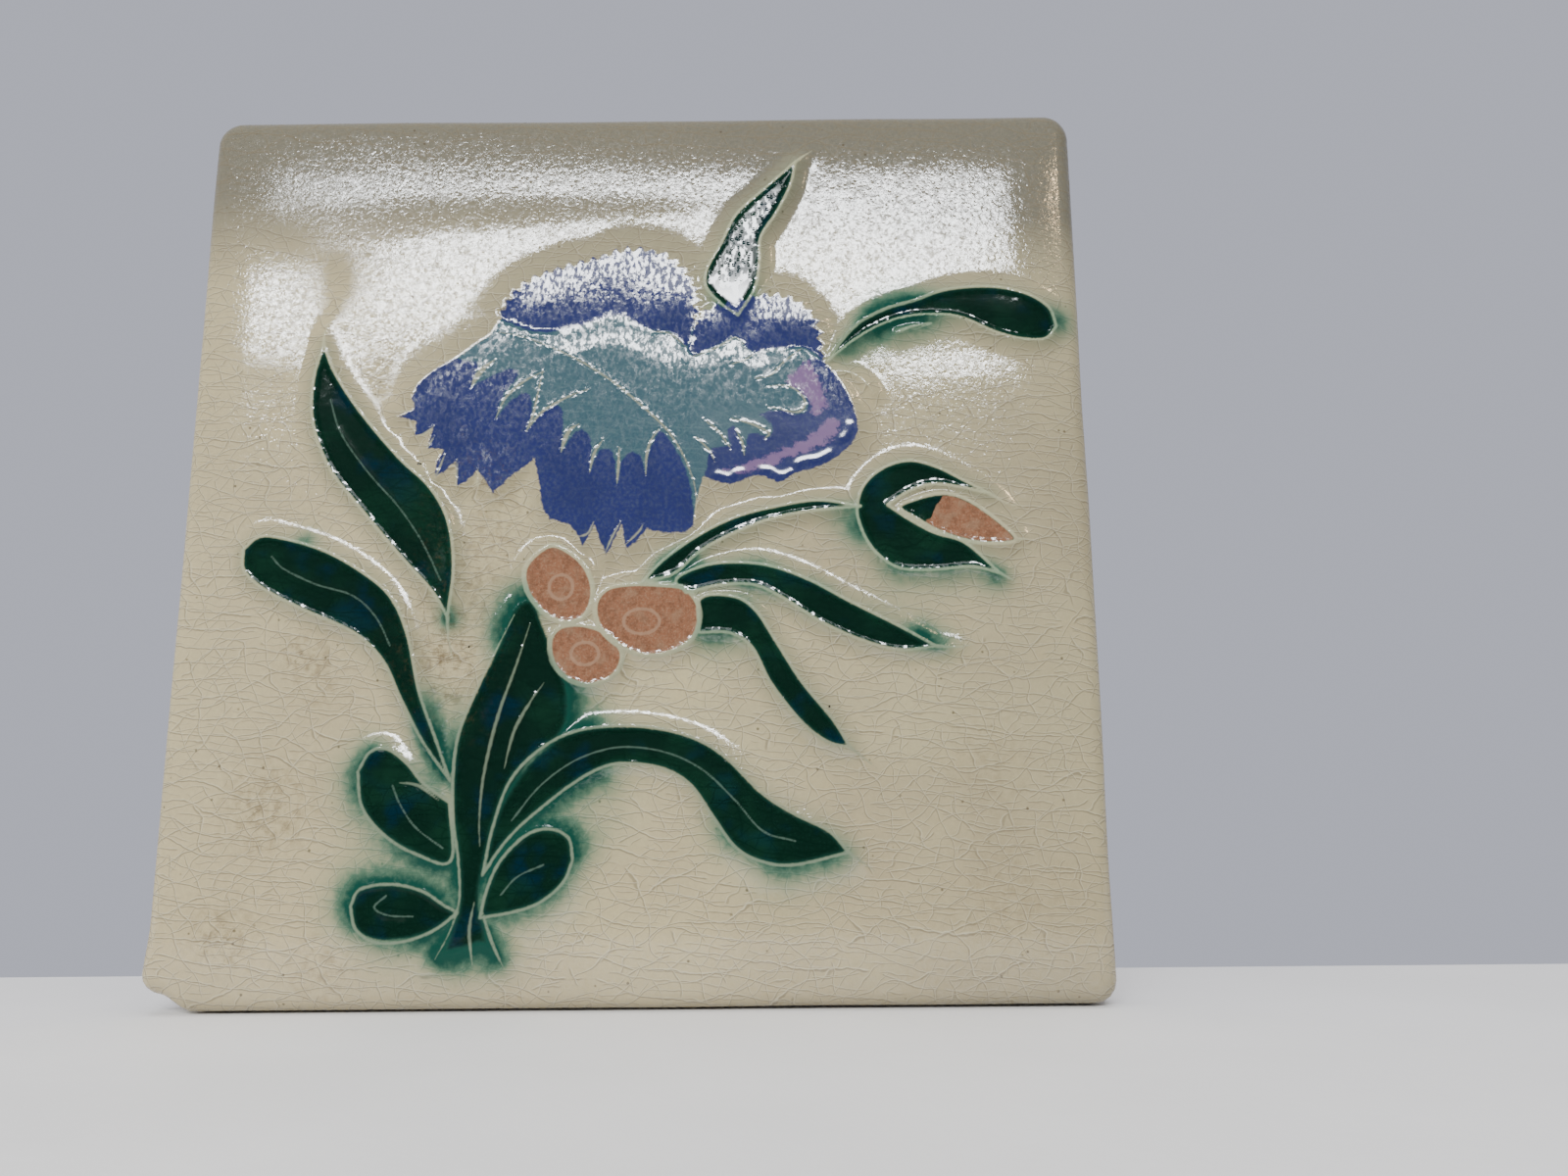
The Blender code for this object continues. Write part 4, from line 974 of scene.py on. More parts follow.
# Second tones of the glazes and of the clay
TINTS = {
    "ground_broad": (0.35, 0.30, 0.18),
    "ground_patch": (0.45, 0.37, 0.195),
    "ground_left_painted_light": (0.455, 0.385, 0.225),
    "ground_low": (0.390, 0.315, 0.180),
    "ground_painted_shade": (0.110, 0.104, 0.084),
    "ground_slope_shade": (0.225, 0.205, 0.130),
    "ground_fine": (0.25, 0.215, 0.135),
    "crack_rim_and_shadow": (0.135, 0.110, 0.072),
    "crack_painted_highlight": (0.58, 0.54, 0.40),
    "dirt": (0.11, 0.070, 0.032),
    "dust": (0.07, 0.05, 0.03),
    "bleed_thin": (0.056, 0.140, 0.092),
    "bleed_deep": (0.005, 0.044, 0.031),
    "green_patch": (0.0042, 0.026, 0.0135),
    "green_fine": (0.0062, 0.030, 0.020),
    "green_crack": (0.0006, 0.009, 0.005),
    "green_edge": (0.009, 0.048, 0.034),
    "teal_fine": (0.048, 0.091, 0.106),
    "teal_crack": (0.09, 0.14, 0.145),
    "blue_pale": (0.035, 0.044, 0.098),
    "blue_deep": (0.016, 0.021, 0.074),
    "pink_fine": (0.240, 0.142, 0.090),
    "pink_deep": (0.120, 0.056, 0.032),
    "pink_pale": (0.235, 0.155, 0.098),
    "crest_patch": (0.33, 0.33, 0.21),
    "crest_bleed": (0.150, 0.255, 0.165),
    "crest_green": (0.080, 0.130, 0.088),
    "crest_petal": (0.165, 0.180, 0.145),
    "crest_low_shade": (0.120, 0.145, 0.105),
    "vein": (0.095, 0.150, 0.118),
    "vein_pink": (0.270, 0.165, 0.105),
    "stain": (0.08, 0.052, 0.028),
    "pin": (0.012, 0.010, 0.008),
    "clay_pale": (0.50, 0.39, 0.27),
    "clay_fine": (0.36, 0.27, 0.18),
    "clay_grit": (0.24, 0.16, 0.10),
    "clay_smudge": (0.30, 0.25, 0.20),
}


class Socket:
    """A shader socket that reads like a number in an expression."""

    def __init__(self, finish, socket):
        self.finish = finish
        self.socket = socket

    def calc(self, operation, *others):
        values = {index: other for index, other in enumerate((self,) + others)}
        return self.finish.node("ShaderNodeMath", {"operation": operation}, values)

    def __add__(self, other):
        return self.calc("ADD", other)

    __radd__ = __add__

    def __mul__(self, other):
        return self.calc("MULTIPLY", other)

    __rmul__ = __mul__

    def __sub__(self, other):
        return self.calc("SUBTRACT", other)

    def __rsub__(self, other):
        return self.finish.node("ShaderNodeMath", {"operation": "SUBTRACT"}, {0: other, 1: self})

    def __truediv__(self, other):
        return self.calc("DIVIDE", other)

    def lowest(self, other):
        return self.calc("MINIMUM", other)

    def highest(self, other):
        return self.calc("MAXIMUM", other)

    def step(self, start, end):
        """0 below start, 1 above end, eased between; start may be the larger."""
        ramp = {"From Min": start, "From Max": end, "To Min": 0.0, "To Max": 1.0, "Value": self}
        return self.finish.node("ShaderNodeMapRange", {"interpolation_type": "SMOOTHSTEP"}, ramp)


class Finish:
    """Builds one material's nodes."""

    def __init__(self, name):
        self.material = bpy.data.materials.new(name)
        self.material.use_nodes = True
        self.tree = self.material.node_tree
        self.shader = self.tree.nodes["Principled BSDF"]

    def connect(self, target, value):
        if isinstance(value, Socket):
            self.tree.links.new(value.socket, target)
        elif hasattr(value, "__len__") and len(value) == 3 and len(target.default_value) == 4:
            target.default_value = (*value, 1.0)
        else:
            target.default_value = value

    def node(self, kind, settings=None, inputs=None, output=0):
        node = self.tree.nodes.new(kind)
        for name, value in (settings or {}).items():
            setattr(node, name, value)
        for key, value in (inputs or {}).items():
            self.connect(node.inputs[key], value)
        return Socket(self, node.outputs[output])

    def coordinates(self):
        """Object coordinates in millimetres."""
        place = self.node("ShaderNodeTexCoord", output="Object")
        return self.node("ShaderNodeVectorMath", {"operation": "SCALE"}, {0: place, "Scale": 1.0 / MM})

    def attribute(self, name):
        return self.node("ShaderNodeAttribute", {"attribute_name": name}, output="Fac")

    def noise(self, place, size, detail=3.0, roughness=0.5):
        inputs = {"Vector": place, "Scale": 1.0 / size, "Detail": detail, "Roughness": roughness}
        return self.node("ShaderNodeTexNoise", None, inputs)

    def dots(self, place, scale):
        """Distance to scattered points, as a share of their spacing."""
        return self.node("ShaderNodeTexVoronoi", {"feature": "F1"}, {"Vector": place, "Scale": scale})

    def mix(self, share, first, second):
        return self.node("ShaderNodeMix", {"data_type": "RGBA"}, {0: share, 6: first, 7: second}, output=2)

    def moved(self, place, offset):
        return self.node("ShaderNodeVectorMath", {"operation": "ADD"}, {0: place, 1: offset})

    def stretched(self, place, scale):
        return self.node("ShaderNodeVectorMath", {"operation": "MULTIPLY"}, {0: place, 1: scale})

    def bump(self, height):
        return self.node("ShaderNodeBump", None, {"Height": height, "Distance": MM, "Strength": 1.0})

    def dulled(self, share, colour, normal):
        """Mixes a matt shader into the glossy one by the share."""
        inputs = {"Base Color": colour, "Roughness": MATT_ROUGHNESS, "Specular IOR Level": 0.0,
                  "Normal": normal}
        matt = self.node("ShaderNodeBsdfPrincipled", None, inputs)
        glossy = Socket(self, self.shader.outputs[0])
        blended = self.node("ShaderNodeMixShader", None, {0: share, 1: glossy, 2: matt})
        self.connect(self.tree.nodes["Material Output"].inputs["Surface"], blended)

    def split(self, vector):
        """The three numbers of a vector."""
        node = self.tree.nodes.new("ShaderNodeSeparateXYZ")
        self.connect(node.inputs[0], vector)
        return [Socket(self, output) for output in node.outputs]

    def cracks(self, place, direction, spacing, size, amount, seed, strength, start):
        """Thin lines that wander side by side and fade in and out: their pale cores, painted highlights, and
        their dark rims, the cracks with painted shadow.
        """
        across = self.node("ShaderNodeVectorMath", {"operation": "DOT_PRODUCT"},
                           {0: place, 1: (direction[0], 0.0, direction[1])}, output="Value")
        wander = self.noise(self.moved(place, (seed, 0.0, -seed)), size, 1.0) * amount
        jitter = self.noise(self.moved(place, (-seed, 0.0, seed)), CRACK_JITTER_SIZE, 1.0)
        wander = wander + jitter * (CRACK_JITTER / spacing)
        phase = across / spacing + wander
        above = (phase.calc("FRACT") - 0.5) * spacing
        broken = self.noise(self.moved(place, (2 * seed, 0.0, seed)), CRACK_BREAKS, 1.0)
        shown = broken.step(start - 0.02, start + 0.05) * strength
        pale = (above - CRACK_LIP).calc("ABSOLUTE").step(CRACK_CORE, 0.0) * shown
        dark = (above + CRACK_LIP).calc("ABSOLUTE").step(CRACK_RIM, CRACK_CORE * 0.4) * shown
        return pale, dark


def glaze_finish():
    """Crackled glossy glaze: cream ground with the coloured areas of the spray."""
    palette = colours()
    finish = Finish("crackled_glaze")
    place = finish.coordinates()
    green, blue, teal, pink, mauve = (finish.attribute(name) for name in COLOUR_FIELDS)
    cream, rib, bleed, stain, slope, pins, matt = (finish.attribute(name) for name in SURFACE_FIELDS)

    # Noises that several parts share
    ragged = finish.noise(place, 0.9, 3.0) - 0.5
    broad = finish.noise(place, 26.0, 2.0)
    patchy = finish.noise(place, 5.0, 4.0)
    fine = finish.noise(place, 0.35, 2.0)

    # Ground: broad and small patches; painted light at the left, darker low down, painted shade at the top,
    # the right and the foot
    ground = finish.mix(broad.step(0.3, 0.7), tuple(palette.cream), TINTS["ground_broad"])
    ground = finish.mix(patchy.step(0.45, 0.8) * 0.35, ground, TINTS["ground_patch"])
    where = finish.split(place)
    painted_shade = None
    for axis, begin, full, share in PAINTED_SHADES:
        part = where[axis].step(begin, full) * share
        painted_shade = painted_shade + part if painted_shade else part
    # Painted light, partly the glaze's own lighter tone: the ground is lighter towards the left
    ground = finish.mix(where[0].step(5.0, -60.0) * 0.55, ground, TINTS["ground_left_painted_light"])
    ground = finish.mix(where[2].step(-30.0, -70.0) * 0.40, ground, TINTS["ground_low"])
    # Painted shade, partly the glaze's own browner tone: darker towards the top, the right and the foot
    ground = finish.mix(painted_shade.lowest(1.0) * 0.96, ground, TINTS["ground_painted_shade"])
    # Partly pooled glaze and partly painted shade on the slopes beside the spray
    ground = finish.mix(slope * 0.60, ground, TINTS["ground_slope_shade"])

    # Crackle: dark cracks with painted shadow on one side and painted highlight on the other
    pale = None
    dark = None
    for family in CRACK_FAMILIES:
        core, lip = finish.cracks(place, *family)
        pale = pale.highest(core) if pale else core
        dark = dark.highest(lip) if dark else lip
    ground = finish.mix((finish.noise(place, 0.6, 3.0, 0.7) - 0.35) * 0.6, ground, TINTS["ground_fine"])
    ground = finish.mix(dark * 0.78, ground, TINTS["crack_rim_and_shadow"])
    ground = finish.mix(pale * (1.0 - painted_shade.lowest(1.0) * 0.95) * 0.6, ground, TINTS["crack_painted_highlight"])

    # Dirt in the crackle, and specks of dust
    dirt = stain * finish.noise(place, 1.6, 5.0, 0.7).step(0.42, 0.68)
    ground = finish.mix(dirt * 0.75, ground, TINTS["dirt"])
    dust = finish.dots(place, 0.42).step(0.13, 0.06) * finish.noise(place, 4.0, 1.0).step(0.5, 0.6)
    ground = finish.mix(dust * 0.75, ground, TINTS["dust"])

    # Green that has bled into the ground
    halo = bleed * (0.55 + finish.noise(place, 1.3, 4.0, 0.6) * 0.9)
    ground = finish.mix((halo * 1.5).lowest(0.85), ground, TINTS["bleed_thin"])
    ground = finish.mix(halo.step(0.30, 0.95), ground, TINTS["bleed_deep"])

    # Leaves and stalks
    green_mask = (green + ragged * 0.5).step(-0.12, 0.42)
    blueish = finish.noise(place, 6.0, 2.0).step(0.52, 0.70)
    deep = finish.mix(blueish, tuple(palette.green), tuple(palette.green_blue))
    deep = finish.mix(finish.noise(place, 9.0, 2.0).step(0.45, 0.70) * 0.6, deep, TINTS["green_patch"])
    deep = finish.mix(fine.step(0.5, 0.8) * 0.35, deep, TINTS["green_fine"])
    deep = finish.mix(dark * 0.6, deep, TINTS["green_crack"])
    edge = (green + ragged * 0.4).step(0.9, 0.1)
    deep = finish.mix(edge * 0.55, deep, TINTS["green_edge"])
    colour = finish.mix(green_mask, ground, deep)

    # Petals: teal, then blue over it, then the brushed mauve
    teal_mask = (teal + ragged * 0.5).step(0.05, 0.4)
    light = finish.mix(fine.step(0.35, 0.75), tuple(palette.teal), TINTS["teal_fine"])
    light = finish.mix(dark * 0.35, light, TINTS["teal_crack"])
    colour = finish.mix(teal_mask, colour, light)
    blue_mask = (blue + ragged * 0.9).step(-0.15, 0.25)
    cloudy = finish.noise(place, 0.6, 3.0).step(0.4, 0.75)
    petal = finish.mix(cloudy, tuple(palette.blue), TINTS["blue_pale"])
    petal = finish.mix(finish.noise(place, 7.0, 2.0).step(0.4, 0.7) * 0.5, petal, TINTS["blue_deep"])
    colour = finish.mix(blue_mask, colour, petal)
    brushed = (mauve + (finish.noise(place, 1.4, 4.0, 0.7) - 0.5) * 4.0).step(-0.2, 0.5)
    colour = finish.mix(brushed * 0.85, colour, tuple(palette.mauve))

    # Berries and bud
    pink_mask = (pink + ragged * 0.4).step(0.2, 0.5)
    flesh = finish.mix(fine.step(0.4, 0.8), tuple(palette.pink), TINTS["pink_fine"])
    flesh = finish.mix(finish.noise(place, 0.8, 5.0, 0.75).step(0.46, 0.62) * 0.7, flesh, TINTS["pink_deep"])
    flesh = finish.mix(finish.noise(place, 2.6, 3.0).step(0.50, 0.68) * 0.4, flesh, TINTS["pink_pale"])
    colour = finish.mix(pink_mask, colour, flesh)

    # Raised lines, tinted by what lies beside them and darker low on the tile, partly painted shade, and the
    # thin midribs
    crest_mask = (cream + ragged * 0.30).step(-0.16, 0.16)
    crest = finish.mix(patchy.step(0.35, 0.7), tuple(palette.crest), TINTS["crest_patch"])
    crest = finish.mix((bleed * 1.3).lowest(0.7), crest, TINTS["crest_bleed"])
    crest = finish.mix(green.step(0.3, 1.0) * 0.85, crest, TINTS["crest_green"])
    crest = finish.mix(blue_mask.highest(teal_mask) * 0.6, crest, TINTS["crest_petal"])
    # Partly painted shade, partly the glaze's tone: the lines darker low on the tile
    crest = finish.mix(where[2].step(0.0, -42.0) * 0.62, crest, TINTS["crest_low_shade"])
    colour = finish.mix(crest_mask * 0.85, colour, crest)
    rib_mask = (rib + ragged * 0.30).step(-0.10, 0.16)
    vein = finish.mix(0.7, colour, TINTS["vein"])
    vein = finish.mix(pink_mask, vein, TINTS["vein_pink"])
    colour = finish.mix(rib_mask * 0.75, colour, vein)

    # Stains and pin holes over everything
    stained = stain * finish.noise(place, 1.1, 5.0, 0.75).step(0.5, 0.72)
    colour = finish.mix(stained * 0.6, colour, TINTS["stain"])
    colour = finish.mix(pins.step(-0.05, 0.08), colour, TINTS["pin"])
    finish.connect(finish.shader.inputs["Base Color"], colour)

    # Gloss
    coloured = blue_mask.highest(teal_mask)
    plain = 1.0 - coloured.highest(green_mask).highest(pink_mask)
    grain = finish.noise(place, 0.7, 2.0, 0.6).step(0.45, 0.60)
    rough = GLAZE_ROUGHNESS + coloured * 0.01 + teal_mask * 0.04 + dirt * 0.15 + grain * plain * 0.09
    finish.connect(finish.shader.inputs["Roughness"], rough)
    finish.shader.inputs["IOR"].default_value = GLAZE_IOR

    # Unevenness: dimples where the glaze is thick, beads along the lines, grain, and fine creases
    dimpled = plain * 0.55 * finish.noise(place, 1.6, 2.0).step(0.36, 0.56)
    dimpled = dimpled.highest(where[2].step(36.0, 44.0) * coloured * 0.4)
    dimpled = dimpled.highest(green_mask * where[2].step(42.0, 46.0) * 2.0)
    peel = (finish.noise(place, 1.4, 4.0, 0.42) - 0.5) * PEEL_HEIGHT
    dimples = finish.dots(place, 1.0 / DIMPLE_SIZE)
    height = peel - dimples.step(0.45, 0.05) * DIMPLE_DEPTH * dimpled - pins.step(-0.05, 0.1) * PIN_DEPTH
    beads = cream.step(-0.5, -0.05)
    height = height + beads * (finish.noise(place, 1.1, 1.0, 0.5) - 0.5) * BEAD_HEIGHT
    height = height + pink_mask * (finish.noise(place, 0.9, 4.0, 0.6) - 0.5) * BERRY_GRAIN
    creases = (finish.noise(place, 1.5, 3.0, 0.55) - 0.5).calc("ABSOLUTE").step(0.07, 0.0) * plain
    height = height - creases * CREASE_DEPTH
    bumped = finish.bump(height)
    finish.connect(finish.shader.inputs["Normal"], bumped)

    # Matt places of the petals, in upright streaks, but not on the right petal's rolled edge
    upright = finish.stretched(place, (1.0, 1.0, 0.6))
    rolled = where[0].step(8.0, 12.0) * where[2].step(22.0, 18.0)
    dull = coloured * finish.noise(upright, 0.65, 4.0, 0.65).step(0.44, 0.54) * (1.0 - rolled) * 0.92
    # Gaps in the shine of the banks beside the leaves' lines, and of the pink areas
    banks = green.step(1.6, 1.1) * green.step(-0.7, -0.4)
    banks = banks.highest(pink_mask)
    dull = dull.highest(banks * finish.noise(place, 1.2, 1.0).step(0.40, 0.47) * 0.95)
    # The mottled ground, its worn places, and the petals' lines
    dull = dull.highest(plain * finish.noise(place, 0.65, 4.0, 0.7).step(0.42, 0.66) * 0.86)
    dull = dull.highest(plain * matt).highest(crest_mask * coloured * 0.75)
    # Grime low on the leaves, and the worn tip and body of the top spike
    dull = dull.highest((green_mask.highest(bleed.step(0.10, 0.45))) * where[2].step(-34.0, -52.0) * 0.9)
    dull = dull.highest(green_mask * where[2].step(58.5, 61.5) * 0.92)
    streaks = finish.noise(upright, 0.8, 3.0).step(0.44, 0.54)
    dull = dull.highest(green_mask * where[2].step(40.0, 46.0) * streaks * 0.85)
    # Gaps in the shine of the raised lines
    dull = dull.highest(crest_mask * finish.noise(place, 1.5, 1.0).step(0.44, 0.50) * 0.85)
    finish.dulled(dull, colour, bumped)
    return finish.material


def clay_finish():
    """Bare fired clay of the back: matt and sandy, with grit and darker smudges."""
    palette = colours()
    finish = Finish("bare_clay")
    place = finish.coordinates()
    clouds = finish.noise(place, 18.0, 4.0).step(0.35, 0.7)
    body = finish.mix(clouds, tuple(palette.clay), TINTS["clay_pale"])
    body = finish.mix(finish.noise(place, 0.7, 5.0, 0.7).step(0.45, 0.8) * 0.5, body, TINTS["clay_fine"])
    body = finish.mix(finish.dots(place, 0.9).step(0.22, 0.08) * 0.6, body, TINTS["clay_grit"])
    smudge = finish.noise(place, 30.0, 5.0, 0.65).step(0.55, 0.75)
    body = finish.mix(smudge * 0.35, body, TINTS["clay_smudge"])
    finish.connect(finish.shader.inputs["Base Color"], body)
    finish.connect(finish.shader.inputs["Roughness"], 0.78 + finish.noise(place, 1.0, 2.0) * 0.18)
    height = finish.noise(place, 0.5, 5.0, 0.7) * 0.05 + finish.noise(place, 6.0, 3.0) * 0.06
    finish.connect(finish.shader.inputs["Normal"], finish.bump(height))
    return finish.material


def floor_finish():
    """Plain pale paint, slightly uneven."""
    finish = Finish("pale_floor")
    place = finish.coordinates()
    base = tuple(colours().floor)
    darker = tuple(value * 0.96 for value in base)
    paint = finish.mix(finish.noise(place, 40.0, 3.0).step(0.3, 0.7), base, darker)
    finish.connect(finish.shader.inputs["Base Color"], paint)
    finish.shader.inputs["Roughness"].default_value = 0.6
    finish.connect(finish.shader.inputs["Normal"], finish.bump(finish.noise(place, 3.0, 4.0) * 0.08))
    return finish.material


# The face's grid, before it is cut finer twice: cells along a side, the reach of each cut from the raised
# lines, and the corner zone that is cut as well
GRID_CELLS = 128
FINE_REACH = 3.4
CREST_REACH = 1.15
CORNER_ZONE = 2.4
# Points closer to a crest than this share of the finest cell are put on it
SLIDE_SHARE = 0.49
# Rows of the rolled edge
ROLL_ROWS = 8
CRISP_ANGLE = 50.0
# Keying grooves of the back, in metres: their number, distance apart, width, distance from the sides, the
# slope of their walls and their depth
GROOVE_COUNT = 6
GROOVE_PITCH = 0.022
GROOVE_WIDTH = 0.006
GROOVE_MARGIN = 0.012
GROOVE_DRAFT = 0.0006
GROOVE_DEPTH = 0.001
# How close to the back a face counts as part of it, and how far up the chamfer the clay is bare
BACK_GAP = 1e-5
BARE_DEPTH = 0.0006
# Half widths of the thin glaze on the midribs and on the berries' rings, and the reach of their fields
RIB_WIDTH = 0.16
RING_WIDTH = 0.30
RIB_REACH = 3.0
# The darker band outside the leaves, partly pooled glaze and partly painted shade, and how high on the tile
# the one round the flower fades in
LEAF_SHADE_BAND = 3.0
FLOWER_SHADE_START = 22.0
FLOWER_SHADE_FADE = 12.0
# Green that creeps out all along the leaves, and how fast the wide bleeds fall off
CREEP = 0.16
CREEP_REACH = 1.4
BLEED_FALL = 3.8


class TILE_OT_build_tile(bpy.types.Operator):
    """Model the tile with its relief, colour fields and finishes"""

    bl_idname = "tile.build_tile"
    bl_label = "Build tile"

    def execute(self, context):
        values = sizes()
        drawing = Drawing()
        relief = Relief(drawing)
        half = (SIDE / 2 - values.edge_round) / UNIT
        piece = self.add_sheet(values, half)
        self.refine(piece, relief, half)
        self.shape_face(piece, relief, half)
        self.add_sides(piece, values)
        self.add_back(piece)
        self.finish_body(piece)
        self.paint_fields(piece, relief)
        piece.data.materials.append(glaze_finish())
        piece.data.materials.append(clay_finish())
        piece.data.polygons.foreach_set("material_index", self.bare_faces(piece).astype(np.int32))
        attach(piece, "root")
        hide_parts("tile")
        return {"FINISHED"}

    def bare_faces(self, piece):
        """The faces of bare clay: those at the back, and the floors of its grooves."""
        centres = face_centres(piece)
        middle = np.all(np.abs(centres[:, [0, 2]]) < SIDE / 2 - GROOVE_MARGIN / 2, axis=1)
        return (centres[:, 1] > -BARE_DEPTH) | (middle & (centres[:, 1] > -1.5 * GROOVE_DEPTH))

    def add_sheet(self, values, half):
        """A square sheet where the face's rim lies."""
        deselect_all()
        depth = values.thickness - values.pillow_drop
        bpy.ops.mesh.primitive_grid_add(
            x_subdivisions=GRID_CELLS, y_subdivisions=GRID_CELLS, size=2 * half * UNIT,
            location=(0.0, -depth, 0.0), rotation=(math.pi / 2, 0.0, 0.0))
        piece = bpy.context.object
        piece.name = "relief_tile"
        bpy.ops.object.transform_apply(location=True, rotation=True, scale=True)
        return piece

    def refine(self, piece, relief, half):
        """Cuts the sheet finer near the spray, and finer again along its raised lines."""
        lines = relief.lines
        pieces_of_line = [np.stack([start, end]) for start, end in zip(lines.starts, lines.ends)]
        for reach in (FINE_REACH, CREST_REACH):
            middles = face_centres(piece)[:, [0, 2]] / UNIT
            near = distance_to(pieces_of_line, middles, FINE_REACH + 1.0) < reach
            corner = np.all(half - np.abs(middles) < CORNER_ZONE, axis=1)
            edit_faces(piece, near | corner)
            bpy.ops.mesh.subdivide(number_cuts=1)
            leave_edit()

    def shape_face(self, piece, relief, half):
        """Slides points onto the crests, then raises the face by its height field."""
        places = coordinates(piece)
        flat = places[:, [0, 2]] / UNIT
        flat = slide_to_crests(flat, relief.lines, SLIDE_SHARE * 2 * half / GRID_CELLS / 4)
        height, _, _, _ = relief.evaluate(flat)
        lift = height + (swell(flat) + sizes().pillow_drop / UNIT) * pillow(flat, half)
        lift = np.maximum(lift, 0.0) * UNIT
        places[:, 0], places[:, 2] = (round_rim(flat, half) * UNIT).T
        set_coordinates(piece, places)
        group = piece.vertex_groups.new(name="height")
        highest = lift.max()
        for index, value in enumerate(lift / highest):
            group.add([index], value, "REPLACE")
        raised = piece.modifiers.new("Relief", "DISPLACE")
        raised.direction = "Y"
        raised.mid_level = 0.0
        raised.strength = -highest
        raised.vertex_group = "height"
        bpy.context.view_layer.objects.active = piece
        bpy.ops.object.modifier_apply(modifier=raised.name)
        piece.vertex_groups.clear()

    def add_sides(self, piece, values):
        """Extrudes the rim round the rolled edge, down the sides and over the back's chamfer."""
        edge = values.edge_round
        front = values.thickness - values.pillow_drop
        rows = []
        for step in range(1, ROLL_ROWS + 1):
            turn = math.pi / 2 * step / ROLL_ROWS
            rows.append((edge * (1 - math.sin(turn)), front - edge * (1 - math.cos(turn))))
        chamfer = values.back_chamfer
        rows += [(0.0, front * 0.5), (0.0, chamfer * 1.6), (chamfer * 0.3, chamfer), (chamfer, 0.0)]
        bpy.context.view_layer.objects.active = piece
        bpy.ops.object.mode_set(mode="EDIT")
        bpy.ops.mesh.select_mode(type="EDGE")
        bpy.ops.mesh.select_all(action="DESELECT")
        mesh = bmesh.from_edit_mesh(piece.data)
        for rim_edge in mesh.edges:
            if rim_edge.is_boundary:
                rim_edge.select_set(True)
        bmesh.update_edit_mesh(piece.data)
        for inset, depth in rows:
            bpy.ops.mesh.extrude_region_move()
            mesh = bmesh.from_edit_mesh(piece.data)
            row = [vertex for vertex in mesh.verts if vertex.select]
            flat = np.array([(vertex.co.x, vertex.co.z) for vertex in row]) / UNIT
            for vertex, (x, z) in zip(row, onto_outline(flat, inset / UNIT) * UNIT):
                vertex.co = (x, -depth, z)
            bmesh.update_edit_mesh(piece.data)
        bpy.ops.mesh.edge_face_add()
        leave_edit()

    def add_back(self, piece):
        """Presses keying grooves into the flat back."""
        inner = SIDE / 2 - GROOVE_MARGIN
        levels = [(number - (GROOVE_COUNT - 1) / 2) * GROOVE_PITCH for number in range(GROOVE_COUNT)]
        cuts = [((reach, 0.0, 0.0), (1.0, 0.0, 0.0)) for reach in (-inner, inner)]
        for middle in levels:
            for reach in (-GROOVE_WIDTH / 2, GROOVE_WIDTH / 2):
                cuts.append(((0.0, 0.0, middle + reach), (0.0, 0.0, 1.0)))
        for place, direction in cuts:
            edit_faces(piece, face_centres(piece)[:, 1] > -BACK_GAP)
            bpy.ops.mesh.bisect(plane_co=place, plane_no=direction)
            leave_edit()
        centres = face_centres(piece)
        groove = np.min([np.abs(centres[:, 2] - middle) for middle in levels], axis=0) < GROOVE_WIDTH / 2
        groove &= (centres[:, 1] > -BACK_GAP) & (np.abs(centres[:, 0]) < inner)
        edit_faces(piece, groove)
        bpy.ops.mesh.inset(thickness=GROOVE_DRAFT, depth=-GROOVE_DEPTH, use_individual=True)
        leave_edit()

    def finish_body(self, piece):
        """The body's unevenness, and smooth shading with the back's edges left crisp."""
        places = coordinates(piece)
        places[:, [0, 2]] = uneven_outline(places[:, [0, 2]] / UNIT) * UNIT
        set_coordinates(piece, places)
        deselect_all()
        piece.select_set(True)
        bpy.context.view_layer.objects.active = piece
        bpy.ops.object.shade_smooth_by_angle(angle=math.radians(CRISP_ANGLE))

    def paint_fields(self, piece, relief):
        """Writes the fields that the glazes read, in millimetres."""
        drawing = relief.drawing
        points = coordinates(piece)[:, [0, 2]] / UNIT
        _, cream, edge, within = relief.evaluate(points)
        near_leaf = np.clip(1.0 - edge / LEAF_SHADE_BAND, 0.0, 1.0) ** 0.8
        to_flower = distance_to([closed_line(drawing.flower)], points)
        upper = eased((points[:, 1] - FLOWER_SHADE_START) / FLOWER_SHADE_FADE)
        near_flower = np.clip(1.0 - to_flower / REACH, 0.0, 1.0) ** 0.5 * upper
        greens = drawing.leaves + [drawing.stalk, drawing.calyx, drawing.bud_petal]
        foot = FOOT_FADE * np.clip(FOOT_START - points[:, 1], 0.0, None)
        bud_pink = np.minimum(signed_distance([drawing.bud_petal], points), self.past_border(points))
        pins = [radius - np.linalg.norm(points - on_face((x, y)), axis=1) for x, y, radius in PIN_HOLES]
        fields = {
            "green": signed_distance(greens, points) - foot,
            "blue": signed_distance([drawing.front, drawing.right, drawing.back, drawing.side], points),
            "teal": signed_distance([drawing.flower], points),
            "pink": np.maximum(signed_distance(drawing.berries, points), bud_pink),
            "mauve": signed_distance(drawing.mauve, points),
            "cream": cream,
            "rib": np.maximum(
                RIB_WIDTH - distance_to(drawing.midribs, points, RIB_REACH),
                RING_WIDTH - distance_to(drawing.rings, points, RIB_REACH)),
            "bleed": self.bleed(points, drawing),
            "stain": blobs(points, STAINS),
            "matt": blobs(points, MATT_SPOTS),
            # Painted shade on the slopes outside the spray, partly pooled glaze
            "slope": np.where(within, 0.0, np.maximum(near_leaf, 1.3 * near_flower)),
            "pins": np.max(pins, axis=0),
        }
        for name, values in fields.items():
            layer = piece.data.attributes.new(name, "FLOAT", "POINT")
            layer.data.foreach_set("value", values.astype(np.float32))

